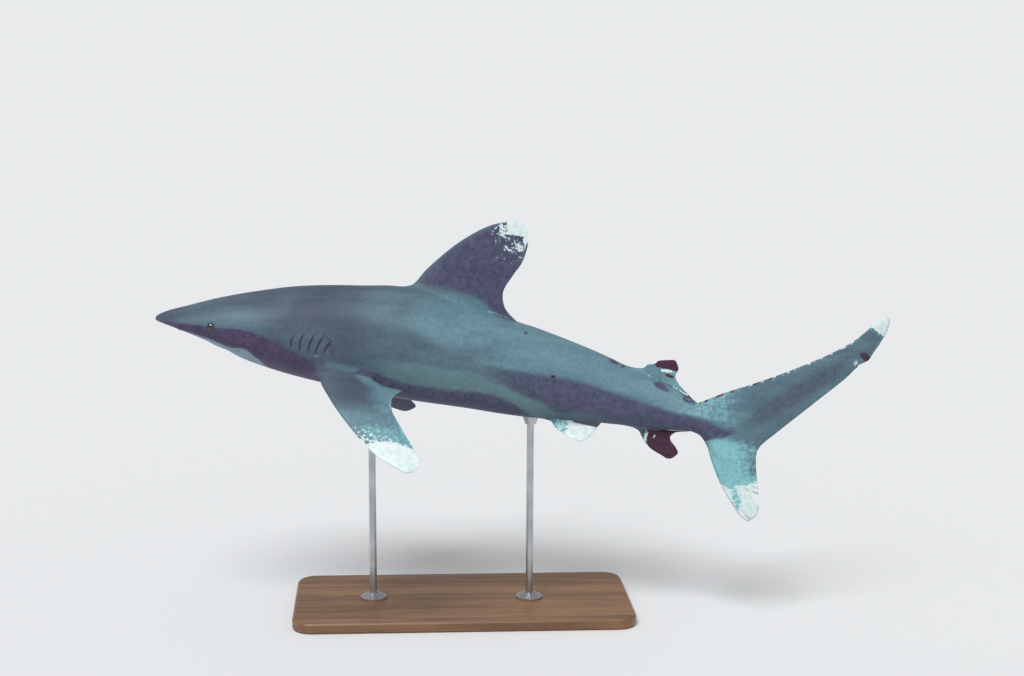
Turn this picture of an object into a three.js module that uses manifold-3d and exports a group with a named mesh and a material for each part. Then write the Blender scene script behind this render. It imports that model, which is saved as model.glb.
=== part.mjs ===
// Oceanic whitetip shark (Carcharhinus longimanus): a still, life-size museum model, swimming with
// its tail swept to its left, held by a plain display stand. Millimetres, +Z up, head toward -X, the
// shark's left side toward -Y. The origin is the middle of the stand's underside, on the floor.

import * as THREE from "three";
import { mergeVertices } from "three/addons/utils/BufferGeometryUtils.js";
import Module from "manifold-3d";

const wasm = await Module();
wasm.setup();

// ---- Driving dimensions ------------------------------------------------------------------------
// The shark is drawn straight first, as fish are measured: s runs back from the snout, r toward its
// right side and z up, all in percent of its total length. pose() then bends it into its swimming
// curve and turns percent into millimetres.

const TOTAL_LENGTH = 1700;
const PERCENT = TOTAL_LENGTH / 100;
const GAP = 0.3; // clearance in millimetres where two pieces meet

const SWIM = {
  headYaw: 2, // degrees that each stretch of the body points toward the shark's right
  tailYaw: -21,
  finYaw: 13,
  headDip: 4, // degrees that the head hangs and the tail rises from the line of the back
  tailRise: 1.5,
  headSpan: [0, 30], // places between which each of these bends happens
  tailSpan: [36, 70],
  finSpan: [70, 84],
  riseSpan: [30, 60],
  noseUp: 10.3, // the whole animal's climb
  anchor: 35, // where the bent axis meets the straight one
  pivot: 40, // this point of the straight axis stands over the middle of the stand
  height: 570, // of that point over the floor, in millimetres
};

// Body outline: distance from the snout, top, bottom, half width, level of the widest point.
const BODY = [
  [0, 0, 0, 0, 0],
  [1.5, 1.1, -0.4, 2.5, -0.1],
  [4, 2, -1.15, 3.8, 0],
  [7.5, 3.3, -2.3, 4.75, 0.1],
  [12, 4.7, -4, 5.5, 0.3],
  [18, 6.3, -5.2, 6.1, 0.5],
  [25, 7.5, -5.8, 6.5, 0.6],
  [33, 8.5, -6.05, 6.5, 0.6],
  [41, 7.15, -5.9, 6, 0.5],
  [49, 5.85, -5.8, 5, 0.3],
  [57, 4.2, -4.95, 3.8, 0],
  [63, 2.7, -4.4, 2.8, -0.6],
  [68, 1.55, -3.9, 2, -1.2],
  [72, 0, -3.3, 1.5, -1.6],
];
const SIDE_SQUARENESS = 2.1; // exponents of the body's superellipse sections
const BELLY_SQUARENESS = 2.2;
const BODY_AROUND = 32;
const BODY_RINGS = 38;
const SNOUT_CROWDING = 0.65; // share of the ring spacing that crowds toward the snout
const SNOUT_START = 0.02; // place of the first ring, which stands in for the snout's very tip

const HEAD_END = { top: 23.6, bottom: 19.6 }; // the slanted parting behind the gills
const PARTING_LEVELS = { top: 8, bottom: -6 }; // levels at which a parting's two places are given
const TRUNK_END = 50.5;
const STOCK_END = 71;

const MOUTH = { front: 7, corner: 11.3, halfWidth: 4, back: 12.6, roof: -1.2 };
const EYE = { s: 7.35, phi: 84, radius: 9.6, bulge: 2.6, depth: 6 }; // the last three in millimetres
// Gill slits, front to rear: place and level of the lower end, place and level of the upper end.
const GILLS = [
  [17.9, -0.8, 17.9, 0.9],
  [18.95, -1.25, 19.1, 1.35],
  [20.05, -1.1, 20.5, 1.5],
  [21, -1.05, 21.7, 1.5],
  [22.05, -0.85, 22.75, 1],
];
const GILL_CUT = { halfWidth: 0.75, depth: 3, bow: 4.2 }; // millimetres

// Fins. Each outline is keyed by u, from 0 at the base to 1 at the tip: u, place along the body,
// height over the fin's own base line. The rear edge runs out along the inner margin to the free
// rear tip and then up the trailing margin.
const FIRST_DORSAL = {
  leading: [
    [0, 29.9, 7.6],
    [0.06, 31.2, 8.8],
    [0.15, 32.3, 9.85],
    [0.3, 34, 12.1],
    [0.58, 37.4, 15.85],
    [0.8, 40.5, 18.15],
    [1, 43.3, 19.2],
  ],
  inner: [
    [0, 41.8, 6.2],
    [0.05, 42.2, 7.02],
    [0.085, 44.1, 6.73],
    [0.12, 46.1, 6.4],
  ],
  rear: [
    [0.12, 46.1, 6.4],
    [0.2, 44.5, 7.6],
    [0.3, 43.7, 9.4],
    [0.48, 44.6, 12.3],
    [0.6, 45.4, 13.9],
    [0.72, 45.75, 15.6],
    [0.86, 45.7, 17.2],
    [0.95, 45.2, 18.5],
    [1, 44.4, 19.1],
  ],
  thickness: 0.085,
};
const SECOND_DORSAL = {
  leading: [
    [0, 59.9, 3.1],
    [0.08, 61.4, 3.4],
    [0.3, 62.9, 3.72],
    [0.5, 64, 4.15],
    [0.8, 65.6, 4.85],
    [1, 66.9, 5.15],
  ],
  inner: [
    [0, 65.1, 1.5],
    [0.08, 65.5, 2.26],
    [0.115, 66.5, 2.03],
    [0.15, 67.5, 1.78],
    [0.185, 68.9, 1.29],
    [0.22, 70.4, 0.69],
  ],
  rear: [
    [0.22, 70.4, 0.69],
    [0.4, 68.9, 1.75],
    [0.5, 68.1, 2.4],
    [0.6, 67.7, 3],
    [0.82, 67.88, 4.2],
    [1, 67.5, 4.95],
  ],
  thickness: 0.09,
};
const ANAL = {
  leading: [
    [0, 62.2, -3.9],
    [0.08, 63, -4.6],
    [0.4, 64.8, -5.75],
    [0.7, 66.2, -6.8],
    [1, 68.1, -7.48],
  ],
  inner: [
    [0, 66.4, -3.4],
    [0.08, 66.8, -4.11],
    [0.14, 68.6, -3.88],
    [0.2, 70.5, -3.57],
  ],
  rear: [
    [0.2, 70.5, -3.57],
    [0.32, 69.1, -3.95],
    [0.42, 68.4, -4.6],
    [0.52, 68.5, -5.1],
    [0.75, 69.4, -6],
    [0.88, 69.75, -6.6],
    [1, 69.4, -7.2],
  ],
  thickness: 0.09,
};
const PECTORAL = {
  leading: [
    [0, -0.5, -1.6],
    [0.08, -0.1, 0.1],
    [0.3, 2.2, 4.5],
    [0.55, 5.6, 9.2],
    [0.78, 9, 12.9],
    [1, 12.3, 14.95],
  ],
  inner: [
    [0, 4.2, -2],
    [0.04, 4.75, -1.1],
    [0.09, 6.2, 0.2],
    [0.14, 8.4, 1.55],
    [0.2, 11.1, 2.25],
  ],
  rear: [
    [0.2, 11.1, 2.25],
    [0.25, 10.2, 3.2],
    [0.34, 10, 4.9],
    [0.52, 11.7, 8.5],
    [0.72, 13.5, 11.6],
    [0.88, 14.4, 13.6],
    [1, 13.7, 14.95],
  ],
  thickness: 0.1,
  base: [21.5, 5.3, -3.3], // where the leading edge leaves the body
  droop: 38, // degrees below level
  rise: 5, // degrees that the rear of its base line rises
};
const PELVIC = {
  leading: [
    [0, -0.3, -1],
    [0.1, 0, 0.1],
    [0.5, 2.4, 1.9],
    [0.8, 4, 2.8],
    [1, 5.1, 3.15],
  ],
  inner: [
    [0, 3.2, -1.2],
    [0.1, 3.5, -0.25],
    [0.25, 7.1, 0.25],
  ],
  rear: [
    [0.25, 7.1, 0.25],
    [0.5, 6.8, 1.3],
    [0.8, 6.4, 2.4],
    [1, 5.9, 2.95],
  ],
  thickness: 0.09,
  base: [51.9, 1.7, -5.25],
  droop: 32,
  rise: 2,
};
const FIN_EDGE = 0.4; // half thickness of every fin's rear edge, in millimetres
const FIN_SPAN_STEPS = 10;
const FREE_TIP_STEPS = 3; // of them lie below the free rear tip
const FIN_CHORD_STEPS = 8;

// Tail fin: its upper and lower leading margins from the tail stock out to the lobes' tips, and its
// trailing margin from the upper tip past the notch and the fork to the lower tip.
const TAIL_UPPER = [
  [0, 71, 0.3],
  [0.05, 72.1, 0.95],
  [0.12, 73.7, 2],
  [0.28, 77.6, 4.1],
  [0.5, 82.9, 6.8],
  [0.7, 87.6, 9.35],
  [0.8, 90.1, 11],
  [0.9, 92.1, 13],
  [1, 94.1, 14.8],
];
const TAIL_LOWER = [
  [0, 71, -3.44],
  [0.07, 72.1, -3.7],
  [0.14, 73, -4.6],
  [0.28, 74.05, -6.5],
  [0.47, 75.2, -8.55],
  [0.7, 76.8, -10.75],
  [0.84, 78.05, -12.2],
  [0.94, 79.3, -13.45],
  [1, 80.3, -13.93],
];
const TAIL_REAR = [
  [0, 94.1, 14.8],
  [0.02, 94.6, 14.4],
  [0.045, 94.7, 13.5],
  [0.1, 94, 11.3],
  [0.15, 93.15, 9.6],
  [0.18, 92.7, 8.6],
  [0.195, 91.9, 8.8],
  [0.21, 91.3, 8.75],
  [0.225, 91.4, 8],
  [0.26, 90.2, 6.3],
  [0.4, 86, 2.2],
  [0.55, 81.4, -2.3],
  [0.6, 80.1, -3.65],
  [0.64, 79.68, -4.7],
  [0.7, 79.9, -6.3],
  [0.84, 81.05, -10.3],
  [0.905, 81.38, -11.7],
  [0.965, 81.2, -13.2],
  [1, 80.3, -13.93],
];
const TAIL_ROWS = 18;
const TAIL_HALF = 14;
// Share of the chord; length of the fleshy root; distances over which the edge reaches full thickness.
const TAIL_PLATE = { thickness: 0.075, fleshy: 9, edgeReach: 0.33, rootReach: 0.12 };
const TAIL_TEAR = { from: [82.2, -11.6], to: [79.55, -9.6], halfWidth: 0.85 };

// Stand
const BASE = { length: 760, width: 340, height: 24, corner: 40, edge: 4 };
const ROD_RADIUS = 8;
const ROD_PLACES = { front: 29, rear: 50 }; // under these places of the body
const ROD_OVERLAP = 20; // the rod is drawn this far into the belly before it is cut to the belly
const COLLAR = { radius: 30, height: 14, lip: 4 };
const RIM_SHARE = 0.35; // height of a collar's outer rim, as a share of its whole height
const CUP = { radius: 20, height: 16 };

const COLOURS = {
  back: 0x57697a,
  trunk: 0x5a707d,
  jaw: 0x94a8b4,
  fin: 0x577289,
  whiteFin: 0xcfe6e6,
  black: 0x48293c,
  eye: 0x15181a,
  wood: 0x785538,
  steel: 0xb4b8bb,
};

// ---- Curves and the swimming pose -------------------------------------------------------------

// Smooth values through keyed rows [t, value, value ...] at t.
function through(keys, t) {
  const last = keys.length - 1;
  let i = 0;
  while (i < last - 1 && t > keys[i + 1][0]) i += 1;
  const slope = (k, c) => (keys[k + 1][c] - keys[k][c]) / (keys[k + 1][0] - keys[k][0]);
  const tangent = (k, c) => {
    if (k === 0) return slope(0, c);
    if (k === last) return slope(last - 1, c);
    const before = keys[k][0] - keys[k - 1][0];
    const after = keys[k + 1][0] - keys[k][0];
    return (slope(k - 1, c) * after + slope(k, c) * before) / (before + after);
  };
  const h = keys[i + 1][0] - keys[i][0];
  const x = THREE.MathUtils.clamp((t - keys[i][0]) / h, 0, 1);
  return keys[i].slice(1).map((_, column) => {
    const c = column + 1;
    return (
      (1 + 2 * x) * (1 - x) ** 2 * keys[i][c] +
      x * (1 - x) ** 2 * h * tangent(i, c) +
      x * x * (3 - 2 * x) * keys[i + 1][c] +
      x * x * (x - 1) * h * tangent(i + 1, c)
    );
  });
}

// The bent axis, as points and directions at small steps of s.
const AXIS_STEP = 0.25;
const AXIS_END = 110;
const AXIS = bentAxis();

function heading(s) {
  const ease = ([from, to]) => THREE.MathUtils.smoothstep(s, from, to);
  const { headYaw, tailYaw, finYaw, headDip, tailRise, headSpan, tailSpan, finSpan, riseSpan } = SWIM;
  const yaw = headYaw * (1 - ease(headSpan)) + tailYaw * ease(tailSpan);
  const pitch = headDip * (1 - ease(headSpan)) + tailRise * ease(riseSpan);
  return {
    yaw: THREE.MathUtils.degToRad(yaw + (finYaw - tailYaw) * ease(finSpan)),
    pitch: THREE.MathUtils.degToRad(pitch),
  };
}

function direction({ yaw, pitch }) {
  const level = Math.cos(pitch);
  return new THREE.Vector3(Math.cos(yaw) * level, Math.sin(yaw) * level, Math.sin(pitch));
}

function bentAxis() {
  const points = [new THREE.Vector3()];
  for (let s = AXIS_STEP; s <= AXIS_END; s += AXIS_STEP) {
    const along = direction(heading(s - AXIS_STEP)).add(direction(heading(s)));
    points.push(points.at(-1).clone().addScaledVector(along, AXIS_STEP / 2));
  }
  const shift = new THREE.Vector3(SWIM.anchor, 0, 0).sub(points[SWIM.anchor / AXIS_STEP]);
  return points.map((p) => p.add(shift));
}

// A point of the straight shark, in percent, as a point of the posed model, in millimetres.
function pose([s, r, z]) {
  const at = THREE.MathUtils.clamp(s / AXIS_STEP, 0, AXIS.length - 1.001);
  const i = Math.floor(at);
  const centre = AXIS[i].clone().lerp(AXIS[i + 1], at - i);
  const turn = heading(s);
  const along = direction(turn);
  const right = new THREE.Vector3(-Math.sin(turn.yaw), Math.cos(turn.yaw), 0);
  const up = along.clone().cross(right);
  const point = centre.addScaledVector(right, r).addScaledVector(up, z);
  point.x -= SWIM.pivot;
  point.applyAxisAngle(new THREE.Vector3(0, 1, 0), THREE.MathUtils.degToRad(SWIM.noseUp));
  point.multiplyScalar(PERCENT);
  point.z += SWIM.height;
  return point;
}

// ---- Solids ------------------------------------------------------------------------------------

function geometryOf(points, faces) {
  const geometry = new THREE.BufferGeometry();
  geometry.setAttribute("position", new THREE.Float32BufferAttribute(points.flat(), 3));
  geometry.setIndex(faces.flat());
  return geometry;
}

// A geometry as a solid whose faces point out, whichever way its triangles turn.
function solid(geometry) {
  const bare = geometry.clone();
  bare.deleteAttribute("normal");
  bare.deleteAttribute("uv");
  const merged = mergeVertices(bare, 1e-4);
  const vertProperties = new Float32Array(merged.getAttribute("position").array);
  const triVerts = new Uint32Array(merged.index.array);
  const made = new wasm.Manifold(new wasm.Mesh({ numProp: 3, vertProperties, triVerts }));
  if (made.volume() > 0) return made;
  const turned = triVerts.reverse();
  return new wasm.Manifold(new wasm.Mesh({ numProp: 3, vertProperties, triVerts: turned }));
}

function geometryFrom(manifold) {
  const mesh = manifold.getMesh();
  const geometry = new THREE.BufferGeometry();
  const positions = [];
  for (let i = 0; i < mesh.numVert; i += 1) {
    positions.push(...mesh.vertProperties.slice(i * mesh.numProp, i * mesh.numProp + 3));
  }
  geometry.setAttribute("position", new THREE.Float32BufferAttribute(positions, 3));
  geometry.setIndex([...mesh.triVerts]);
  geometry.computeVertexNormals();
  return geometry;
}

// A closed skin over rings of points. Its ends are flat fans, or the last one is zipped side to
// side into a thin edge.
function loft(rings, zipped = false) {
  const count = rings[0].length;
  const points = rings.flat().map((p) => p.toArray());
  const faces = [];
  const at = (ring, i) => ring * count + (i % count);
  for (let ring = 0; ring < rings.length - 1; ring += 1) {
    for (let i = 0; i < count; i += 1) {
      const [a, b] = [at(ring, i), at(ring, i + 1)];
      const [c, d] = [at(ring + 1, i + 1), at(ring + 1, i)];
      faces.push([a, b, c], [a, c, d]);
    }
  }
  const middle = (ring) =>
    ring.reduce((sum, p) => sum.add(p), new THREE.Vector3()).divideScalar(count).toArray();
  const last = rings.length - 1;
  const front = points.push(middle(rings[0])) - 1;
  for (let i = 0; i < count; i += 1) faces.push([front, at(0, i + 1), at(0, i)]);
  if (zipped) {
    const mirror = (i) => at(last, count - i);
    for (let i = 0; i < count / 2; i += 1) {
      if (i > 0) faces.push([at(last, i), at(last, i + 1), mirror(i)]);
      if (i < count / 2 - 1) faces.push([at(last, i + 1), mirror(i + 1), mirror(i)]);
    }
  } else {
    const back = points.push(middle(rings[last])) - 1;
    for (let i = 0; i < count; i += 1) faces.push([back, at(last, i), at(last, i + 1)]);
  }
  return geometryOf(points, faces);
}

// ---- Body --------------------------------------------------------------------------------------

const BODY_BY_ROOT = BODY.map(([s, ...rest]) => [Math.sqrt(s), ...rest]);

// A point of the body's surface; phi is 0 on the back and grows toward the right side.
function bodyPoint(s, phi, grow = 0) {
  const [top, bottom, halfWidth, widest] = through(BODY_BY_ROOT, Math.sqrt(s));
  const cosine = Math.cos(phi);
  const sine = Math.sin(phi);
  const reach = Math.abs(sine) ** (2 / SIDE_SQUARENESS);
  const r = (halfWidth + grow) * Math.sign(sine) * reach;
  const lower = Math.abs(cosine) ** (2 / BELLY_SQUARENESS);
  const rise = cosine > 0 ? (top + grow - widest) * cosine : (bottom - grow - widest) * lower;
  return [s, r, widest + rise];
}

function bodyRing(s, grow = 0) {
  return Array.from({ length: BODY_AROUND }, (_, i) =>
    pose(bodyPoint(s, (2 * Math.PI * i) / BODY_AROUND, grow)),
  );
}

// Snout to tail stock; ring places crowd toward the rounded snout.
function bodySolid(grow = 0) {
  const rings = [];
  for (let i = 0; i <= BODY_RINGS; i += 1) {
    const t = i / BODY_RINGS;
    const s = STOCK_END * ((1 - SNOUT_CROWDING) * t * t + SNOUT_CROWDING * t ** 1.25);
    rings.push(bodyRing(Math.max(s, SNOUT_START), grow));
  }
  return solid(loft(rings));
}

const WHOLE_BODY = bodySolid();
const CLEARED_BODY = bodySolid(GAP / PERCENT);

// A block that holds everything between two slanted planes across the body; each plane is given by
// where it meets the top and the bottom of the section, and is drawn in by half the gap.
function blockBetween(front, back) {
  const reach = 14;
  const corner = (plane, z, r, shift) => {
    const { top, bottom } = PARTING_LEVELS;
    const s = THREE.MathUtils.mapLinear(z, top, bottom, plane.top, plane.bottom);
    return pose([s, r, z]).add(new THREE.Vector3(shift, 0, 0));
  };
  const rings = [
    [front, GAP / 2],
    [back, -GAP / 2],
  ].map(([plane, shift]) => [
    corner(plane, reach, reach, shift),
    corner(plane, -reach, reach, shift),
    corner(plane, -reach, -reach, shift),
    corner(plane, reach, -reach, shift),
  ]);
  return solid(loft(rings));
}

// The lower jaw's block: a parabola in plan, from the roof of the mouth down past the throat.
function jawBlock(grow) {
  const { front, corner, halfWidth, back, roof } = MOUTH;
  const steps = 10;
  const underBody = -9;
  const outline = [];
  for (let i = 0; i <= steps; i += 1) {
    const across = -1 + (2 * i) / steps;
    outline.push([front + (corner - front) * across * across - grow, halfWidth * across]);
  }
  const scale = (halfWidth + grow) / halfWidth;
  const ring = outline.map(([s, r]) => [s, r * scale]);
  ring.push([back + grow, halfWidth + grow], [back + grow, -halfWidth - grow]);
  const level = (z) => ring.map(([s, r]) => pose([s, r, z]));
  return solid(loft([level(roof + grow), level(underBody)]));
}

function gillCut([lowS, lowZ, highS, highZ], side) {
  const { halfWidth, depth } = GILL_CUT;
  const steps = 3;
  const rings = [];
  for (let i = 0; i <= steps; i += 1) {
    const z = THREE.MathUtils.lerp(highZ, lowZ, i / steps);
    const bow = (GILL_CUT.bow / PERCENT) * Math.sin((Math.PI * i) / steps);
    const s = THREE.MathUtils.lerp(highS, lowS, i / steps) - bow;
    const halfBody = bodyHalfWidthAt(s, z);
    const ring = [
      [-1, 2],
      [1, 2],
      [1, -depth],
      [-1, -depth],
    ].map(([way, out]) => pose([s + (way * halfWidth) / PERCENT, side * (halfBody + out / PERCENT), z]));
    rings.push(ring);
  }
  return solid(loft(rings));
}

function bodyHalfWidthAt(s, z) {
  const [top, bottom, halfWidth, widest] = through(BODY_BY_ROOT, Math.sqrt(s));
  const power = z > widest ? 1 : BELLY_SQUARENESS / 2;
  const share = z > widest ? (z - widest) / (top - widest) : (widest - z) / (widest - bottom);
  const sine = Math.sqrt(Math.max(0, 1 - share ** (2 * power)));
  return halfWidth * sine ** (2 / SIDE_SQUARENESS);
}

// ---- Eyes --------------------------------------------------------------------------------------

function eyeGeometry(grow) {
  const { radius, bulge, depth } = EYE;
  const edge = radius + grow;
  const steps = 4;
  const profile = [new THREE.Vector2(0, -depth - grow), new THREE.Vector2(edge, -depth - grow)];
  for (let i = 0; i <= steps; i += 1) {
    const angle = (Math.PI / 2) * (i / steps);
    const x = i === steps ? 0 : edge * Math.cos(angle);
    profile.push(new THREE.Vector2(x, (bulge + grow) * Math.sin(angle)));
  }
  return new THREE.LatheGeometry(profile, 14);
}

// Turns and moves a part drawn along +Y so that it looks out of the head at the eye's place.
function eyePlacement(side) {
  const phi = side * THREE.MathUtils.degToRad(EYE.phi);
  const centre = pose(bodyPoint(EYE.s, phi));
  const ahead = pose(bodyPoint(EYE.s - 0.5, phi)).sub(pose(bodyPoint(EYE.s + 0.5, phi)));
  const up = pose(bodyPoint(EYE.s, phi - side * 0.1)).sub(pose(bodyPoint(EYE.s, phi + side * 0.1)));
  const out = up.cross(ahead).multiplyScalar(side).normalize();
  const turn = new THREE.Quaternion().setFromUnitVectors(new THREE.Vector3(0, 1, 0), out);
  return new THREE.Matrix4().compose(centre, turn, new THREE.Vector3(1, 1, 1));
}

// ---- Fins --------------------------------------------------------------------------------------

// Half thickness of a streamlined section at a share of its chord from the leading edge, for a
// section one chord thick.
function wingSection(share) {
  const s = THREE.MathUtils.clamp(share, 0, 1);
  return 5 * (0.2969 * Math.sqrt(s) - 0.126 * s - 0.3516 * s ** 2 + 0.2843 * s ** 3 - 0.1015 * s ** 4);
}

// A fin's solid before the body is cut away from its root. place() sets a point of the fin's own
// plane, and a distance across it, on the straight shark.
function finSolid(fin, place) {
  const freeTip = fin.rear[0][0];
  const rings = [];
  for (let j = 0; j <= FIN_SPAN_STEPS; j += 1) {
    const u = spanShare(j / FIN_SPAN_STEPS, freeTip);
    const lead = through(fin.leading, u);
    const trail = u < freeTip ? through(fin.inner, u) : through(fin.rear, u);
    const chord = Math.hypot(trail[0] - lead[0], trail[1] - lead[1]);
    const point = (i, side) => {
      const share = (1 - Math.cos((Math.PI * i) / FIN_CHORD_STEPS)) / 2;
      const a = lead[0] + (trail[0] - lead[0]) * share;
      const b = lead[1] + (trail[1] - lead[1]) * share;
      const fade = Math.min(1, i / 2);
      const half = fin.thickness * chord * wingSection(share) + (fade * FIN_EDGE) / PERCENT;
      return pose(place(a, b, side * half));
    };
    const ring = [];
    for (let i = 0; i <= FIN_CHORD_STEPS; i += 1) ring.push(point(i, 1));
    for (let i = FIN_CHORD_STEPS; i > 0; i -= 1) ring.push(point(i, -1));
    rings.push(ring);
  }
  return solid(loft(rings));
}

// Places a row at the free rear tip, and spreads the others evenly on both sides of it.
function spanShare(t, freeTip) {
  const rowsBelow = FREE_TIP_STEPS / FIN_SPAN_STEPS;
  if (t <= rowsBelow) return (t / rowsBelow) * freeTip;
  return freeTip + ((t - rowsBelow) / (1 - rowsBelow)) * (1 - freeTip);
}

const onMidline = (a, b, across) => [a, across, b];

function onSide(fin, side) {
  const droop = THREE.MathUtils.degToRad(fin.droop);
  const rise = Math.tan(THREE.MathUtils.degToRad(fin.rise));
  const [s, r, z] = fin.base;
  return (a, b, across) => [
    s + a,
    side * (r + b * Math.cos(droop) + across * Math.sin(droop)),
    z + a * rise - b * Math.sin(droop) + across * Math.cos(droop),
  ];
}

const fin = (shape, place) => finSolid(shape, place).subtract(CLEARED_BODY);

// Tail fin: a grid stretched between the tail stock's end ring and the trailing margin.
function tailFin() {
  const stock = (share) => {
    const [s, , z] = bodyPoint(STOCK_END, Math.PI * share);
    return [s, z];
  };
  const rear = (share) => through(TAIL_REAR, share);
  const blend = (share) => (1 - Math.cos(Math.PI * share)) / 2;
  const corners = [stock(0), stock(1), rear(0), rear(1)];
  const middle = (share, out) => {
    const q = blend(share);
    const upper = through(TAIL_UPPER, out);
    const lower = through(TAIL_LOWER, out);
    return [0, 1].map(
      (c) =>
        (1 - out) * stock(share)[c] +
        out * rear(q)[c] +
        (1 - q) * upper[c] +
        q * lower[c] -
        (1 - q) * (1 - out) * corners[0][c] -
        q * (1 - out) * corners[1][c] -
        (1 - q) * out * corners[2][c] -
        q * out * corners[3][c],
    );
  };
  const leadingEdge = [...sample(TAIL_UPPER, 40), ...sample(TAIL_LOWER, 40)];
  const trailingEdge = sample(TAIL_REAR, 90);
  const halfAt = (share, out) => {
    const point = middle(share, out);
    const fromLead = distance(point, leadingEdge);
    const fromRear = distance(point, trailingEdge);
    const chord = fromLead + fromRear;
    const plate = TAIL_PLATE.thickness * chord * wingSection(chord > 0 ? fromLead / chord : 0);
    const flesh = Math.abs(bodyPoint(STOCK_END, Math.PI * share)[1]);
    const behind = THREE.MathUtils.smoothstep(point[0], STOCK_END, STOCK_END + TAIL_PLATE.fleshy);
    const { edgeReach, rootReach } = TAIL_PLATE;
    const edge = Math.min(1, fromLead / edgeReach) * Math.min(1, out / rootReach);
    const body = Math.hypot(flesh * (1 - behind), plate * Math.sqrt(behind));
    return body + (edge * FIN_EDGE) / PERCENT;
  };
  const rings = [];
  for (let row = 0; row <= TAIL_ROWS; row += 1) {
    const out = row / TAIL_ROWS;
    const ring = [];
    for (let i = 0; i < 2 * TAIL_HALF; i += 1) {
      const share = i <= TAIL_HALF ? i / TAIL_HALF : 2 - i / TAIL_HALF;
      const [s, z] = middle(share, out);
      const side = i % TAIL_HALF === 0 ? 0 : i < TAIL_HALF ? 1 : -1;
      ring.push(pose([s + (GAP / PERCENT) * (1 - out), side * halfAt(share, out), z]));
    }
    rings.push(ring);
  }
  return solid(loft(rings, true)).subtract(tailTear());
}

function sample(keys, steps) {
  return Array.from({ length: steps + 1 }, (_, i) => through(keys, i / steps));
}

function distance([x, y], line) {
  let least = Infinity;
  for (let i = 0; i < line.length - 1; i += 1) {
    const [ax, ay] = line[i];
    const [bx, by] = line[i + 1];
    const length = (bx - ax) ** 2 + (by - ay) ** 2;
    const t = THREE.MathUtils.clamp(((x - ax) * (bx - ax) + (y - ay) * (by - ay)) / length, 0, 1);
    least = Math.min(least, Math.hypot(x - ax - t * (bx - ax), y - ay - t * (by - ay)));
  }
  return least;
}

// An old tear in the rear edge of the lower lobe: a narrow wedge through the fin.
function tailTear() {
  const { from, to, halfWidth } = TAIL_TEAR;
  const along = [to[0] - from[0], to[1] - from[1]];
  const length = Math.hypot(...along);
  const across = [(-along[1] / length) * halfWidth, (along[0] / length) * halfWidth];
  const wedge = (r) => [
    pose([from[0] + across[0], r, from[1] + across[1]]),
    pose([to[0], r, to[1]]),
    pose([from[0] - across[0], r, from[1] - across[1]]),
  ];
  return solid(loft([wedge(-2), wedge(2)]));
}

// ---- Stand -------------------------------------------------------------------------------------

function baseGeometry() {
  const { length, width, height, corner, edge } = BASE;
  const x = length / 2 - edge;
  const y = width / 2 - edge;
  const outline = new THREE.Shape();
  outline.moveTo(-x + corner, -y);
  outline.lineTo(x - corner, -y);
  outline.absarc(x - corner, -y + corner, corner, -Math.PI / 2, 0);
  outline.absarc(x - corner, y - corner, corner, 0, Math.PI / 2);
  outline.absarc(-x + corner, y - corner, corner, Math.PI / 2, Math.PI);
  outline.absarc(-x + corner, -y + corner, corner, Math.PI, 1.5 * Math.PI);
  const geometry = new THREE.ExtrudeGeometry(outline, {
    depth: height - 2 * edge,
    bevelThickness: edge,
    bevelSize: edge,
    bevelSegments: 1,
    curveSegments: 6,
  });
  return geometry.translate(0, 0, edge);
}

// A washer with a raised lip round the rod, standing on its underside at height 0.
function ringGeometry(radius, height, lip) {
  const bore = ROD_RADIUS + GAP;
  const profile = [
    [bore, 0],
    [radius, 0],
    [radius, height * RIM_SHARE],
    [bore + lip, height],
    [bore, height],
    [bore, 0],
  ].map(([x, y]) => new THREE.Vector2(x, y));
  return new THREE.LatheGeometry(profile, 18).rotateX(Math.PI / 2);
}

function bellyAbove(s) {
  return pose(bodyPoint(s, Math.PI));
}

function rodSolid(s) {
  const belly = bellyAbove(s);
  const bottom = BASE.height + GAP;
  const top = belly.z + ROD_OVERLAP;
  const geometry = new THREE.CylinderGeometry(ROD_RADIUS, ROD_RADIUS, top - bottom, 20);
  geometry.rotateX(Math.PI / 2).translate(belly.x, belly.y, (top + bottom) / 2);
  return solid(geometry).subtract(CLEARED_BODY);
}

function collarGeometry(s) {
  const belly = bellyAbove(s);
  return ringGeometry(COLLAR.radius, COLLAR.height, COLLAR.lip).translate(
    belly.x,
    belly.y,
    BASE.height + GAP,
  );
}

// The cup under the belly: the collar turned over, cut to the belly's shape.
function cupSolid(s) {
  const belly = bellyAbove(s);
  const geometry = ringGeometry(CUP.radius, CUP.height * 2, COLLAR.lip);
  geometry.rotateX(Math.PI).translate(belly.x, belly.y, belly.z + CUP.height);
  return solid(geometry).subtract(CLEARED_BODY);
}

// ---- The model ---------------------------------------------------------------------------------

const shark = new THREE.Group();

function add(name, geometry, colour, roughness = 0.55, metalness = 0) {
  const material = new THREE.MeshStandardMaterial({ color: colour, roughness, metalness });
  const mesh = new THREE.Mesh(geometry, material);
  mesh.name = name;
  shark.add(mesh);
}

function straightPlane(s) {
  return { top: s, bottom: s };
}

const BEFORE_SNOUT = straightPlane(-6);
const BEHIND_STOCK = straightPlane(90);
const SIDES = [
  ["left", -1],
  ["right", 1],
];

let head = WHOLE_BODY.intersect(blockBetween(BEFORE_SNOUT, HEAD_END));
for (const [name, side] of SIDES) {
  const placement = eyePlacement(side);
  head = head.subtract(solid(eyeGeometry(GAP).applyMatrix4(placement)));
  for (const slit of GILLS) head = head.subtract(gillCut(slit, side));
  add("eye_" + name, eyeGeometry(0).applyMatrix4(placement), COLOURS.eye, 0.08);
}
add("head", geometryFrom(head.subtract(jawBlock(GAP / PERCENT))), COLOURS.back);
add("lower_jaw", geometryFrom(head.intersect(jawBlock(0))), COLOURS.jaw);

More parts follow.
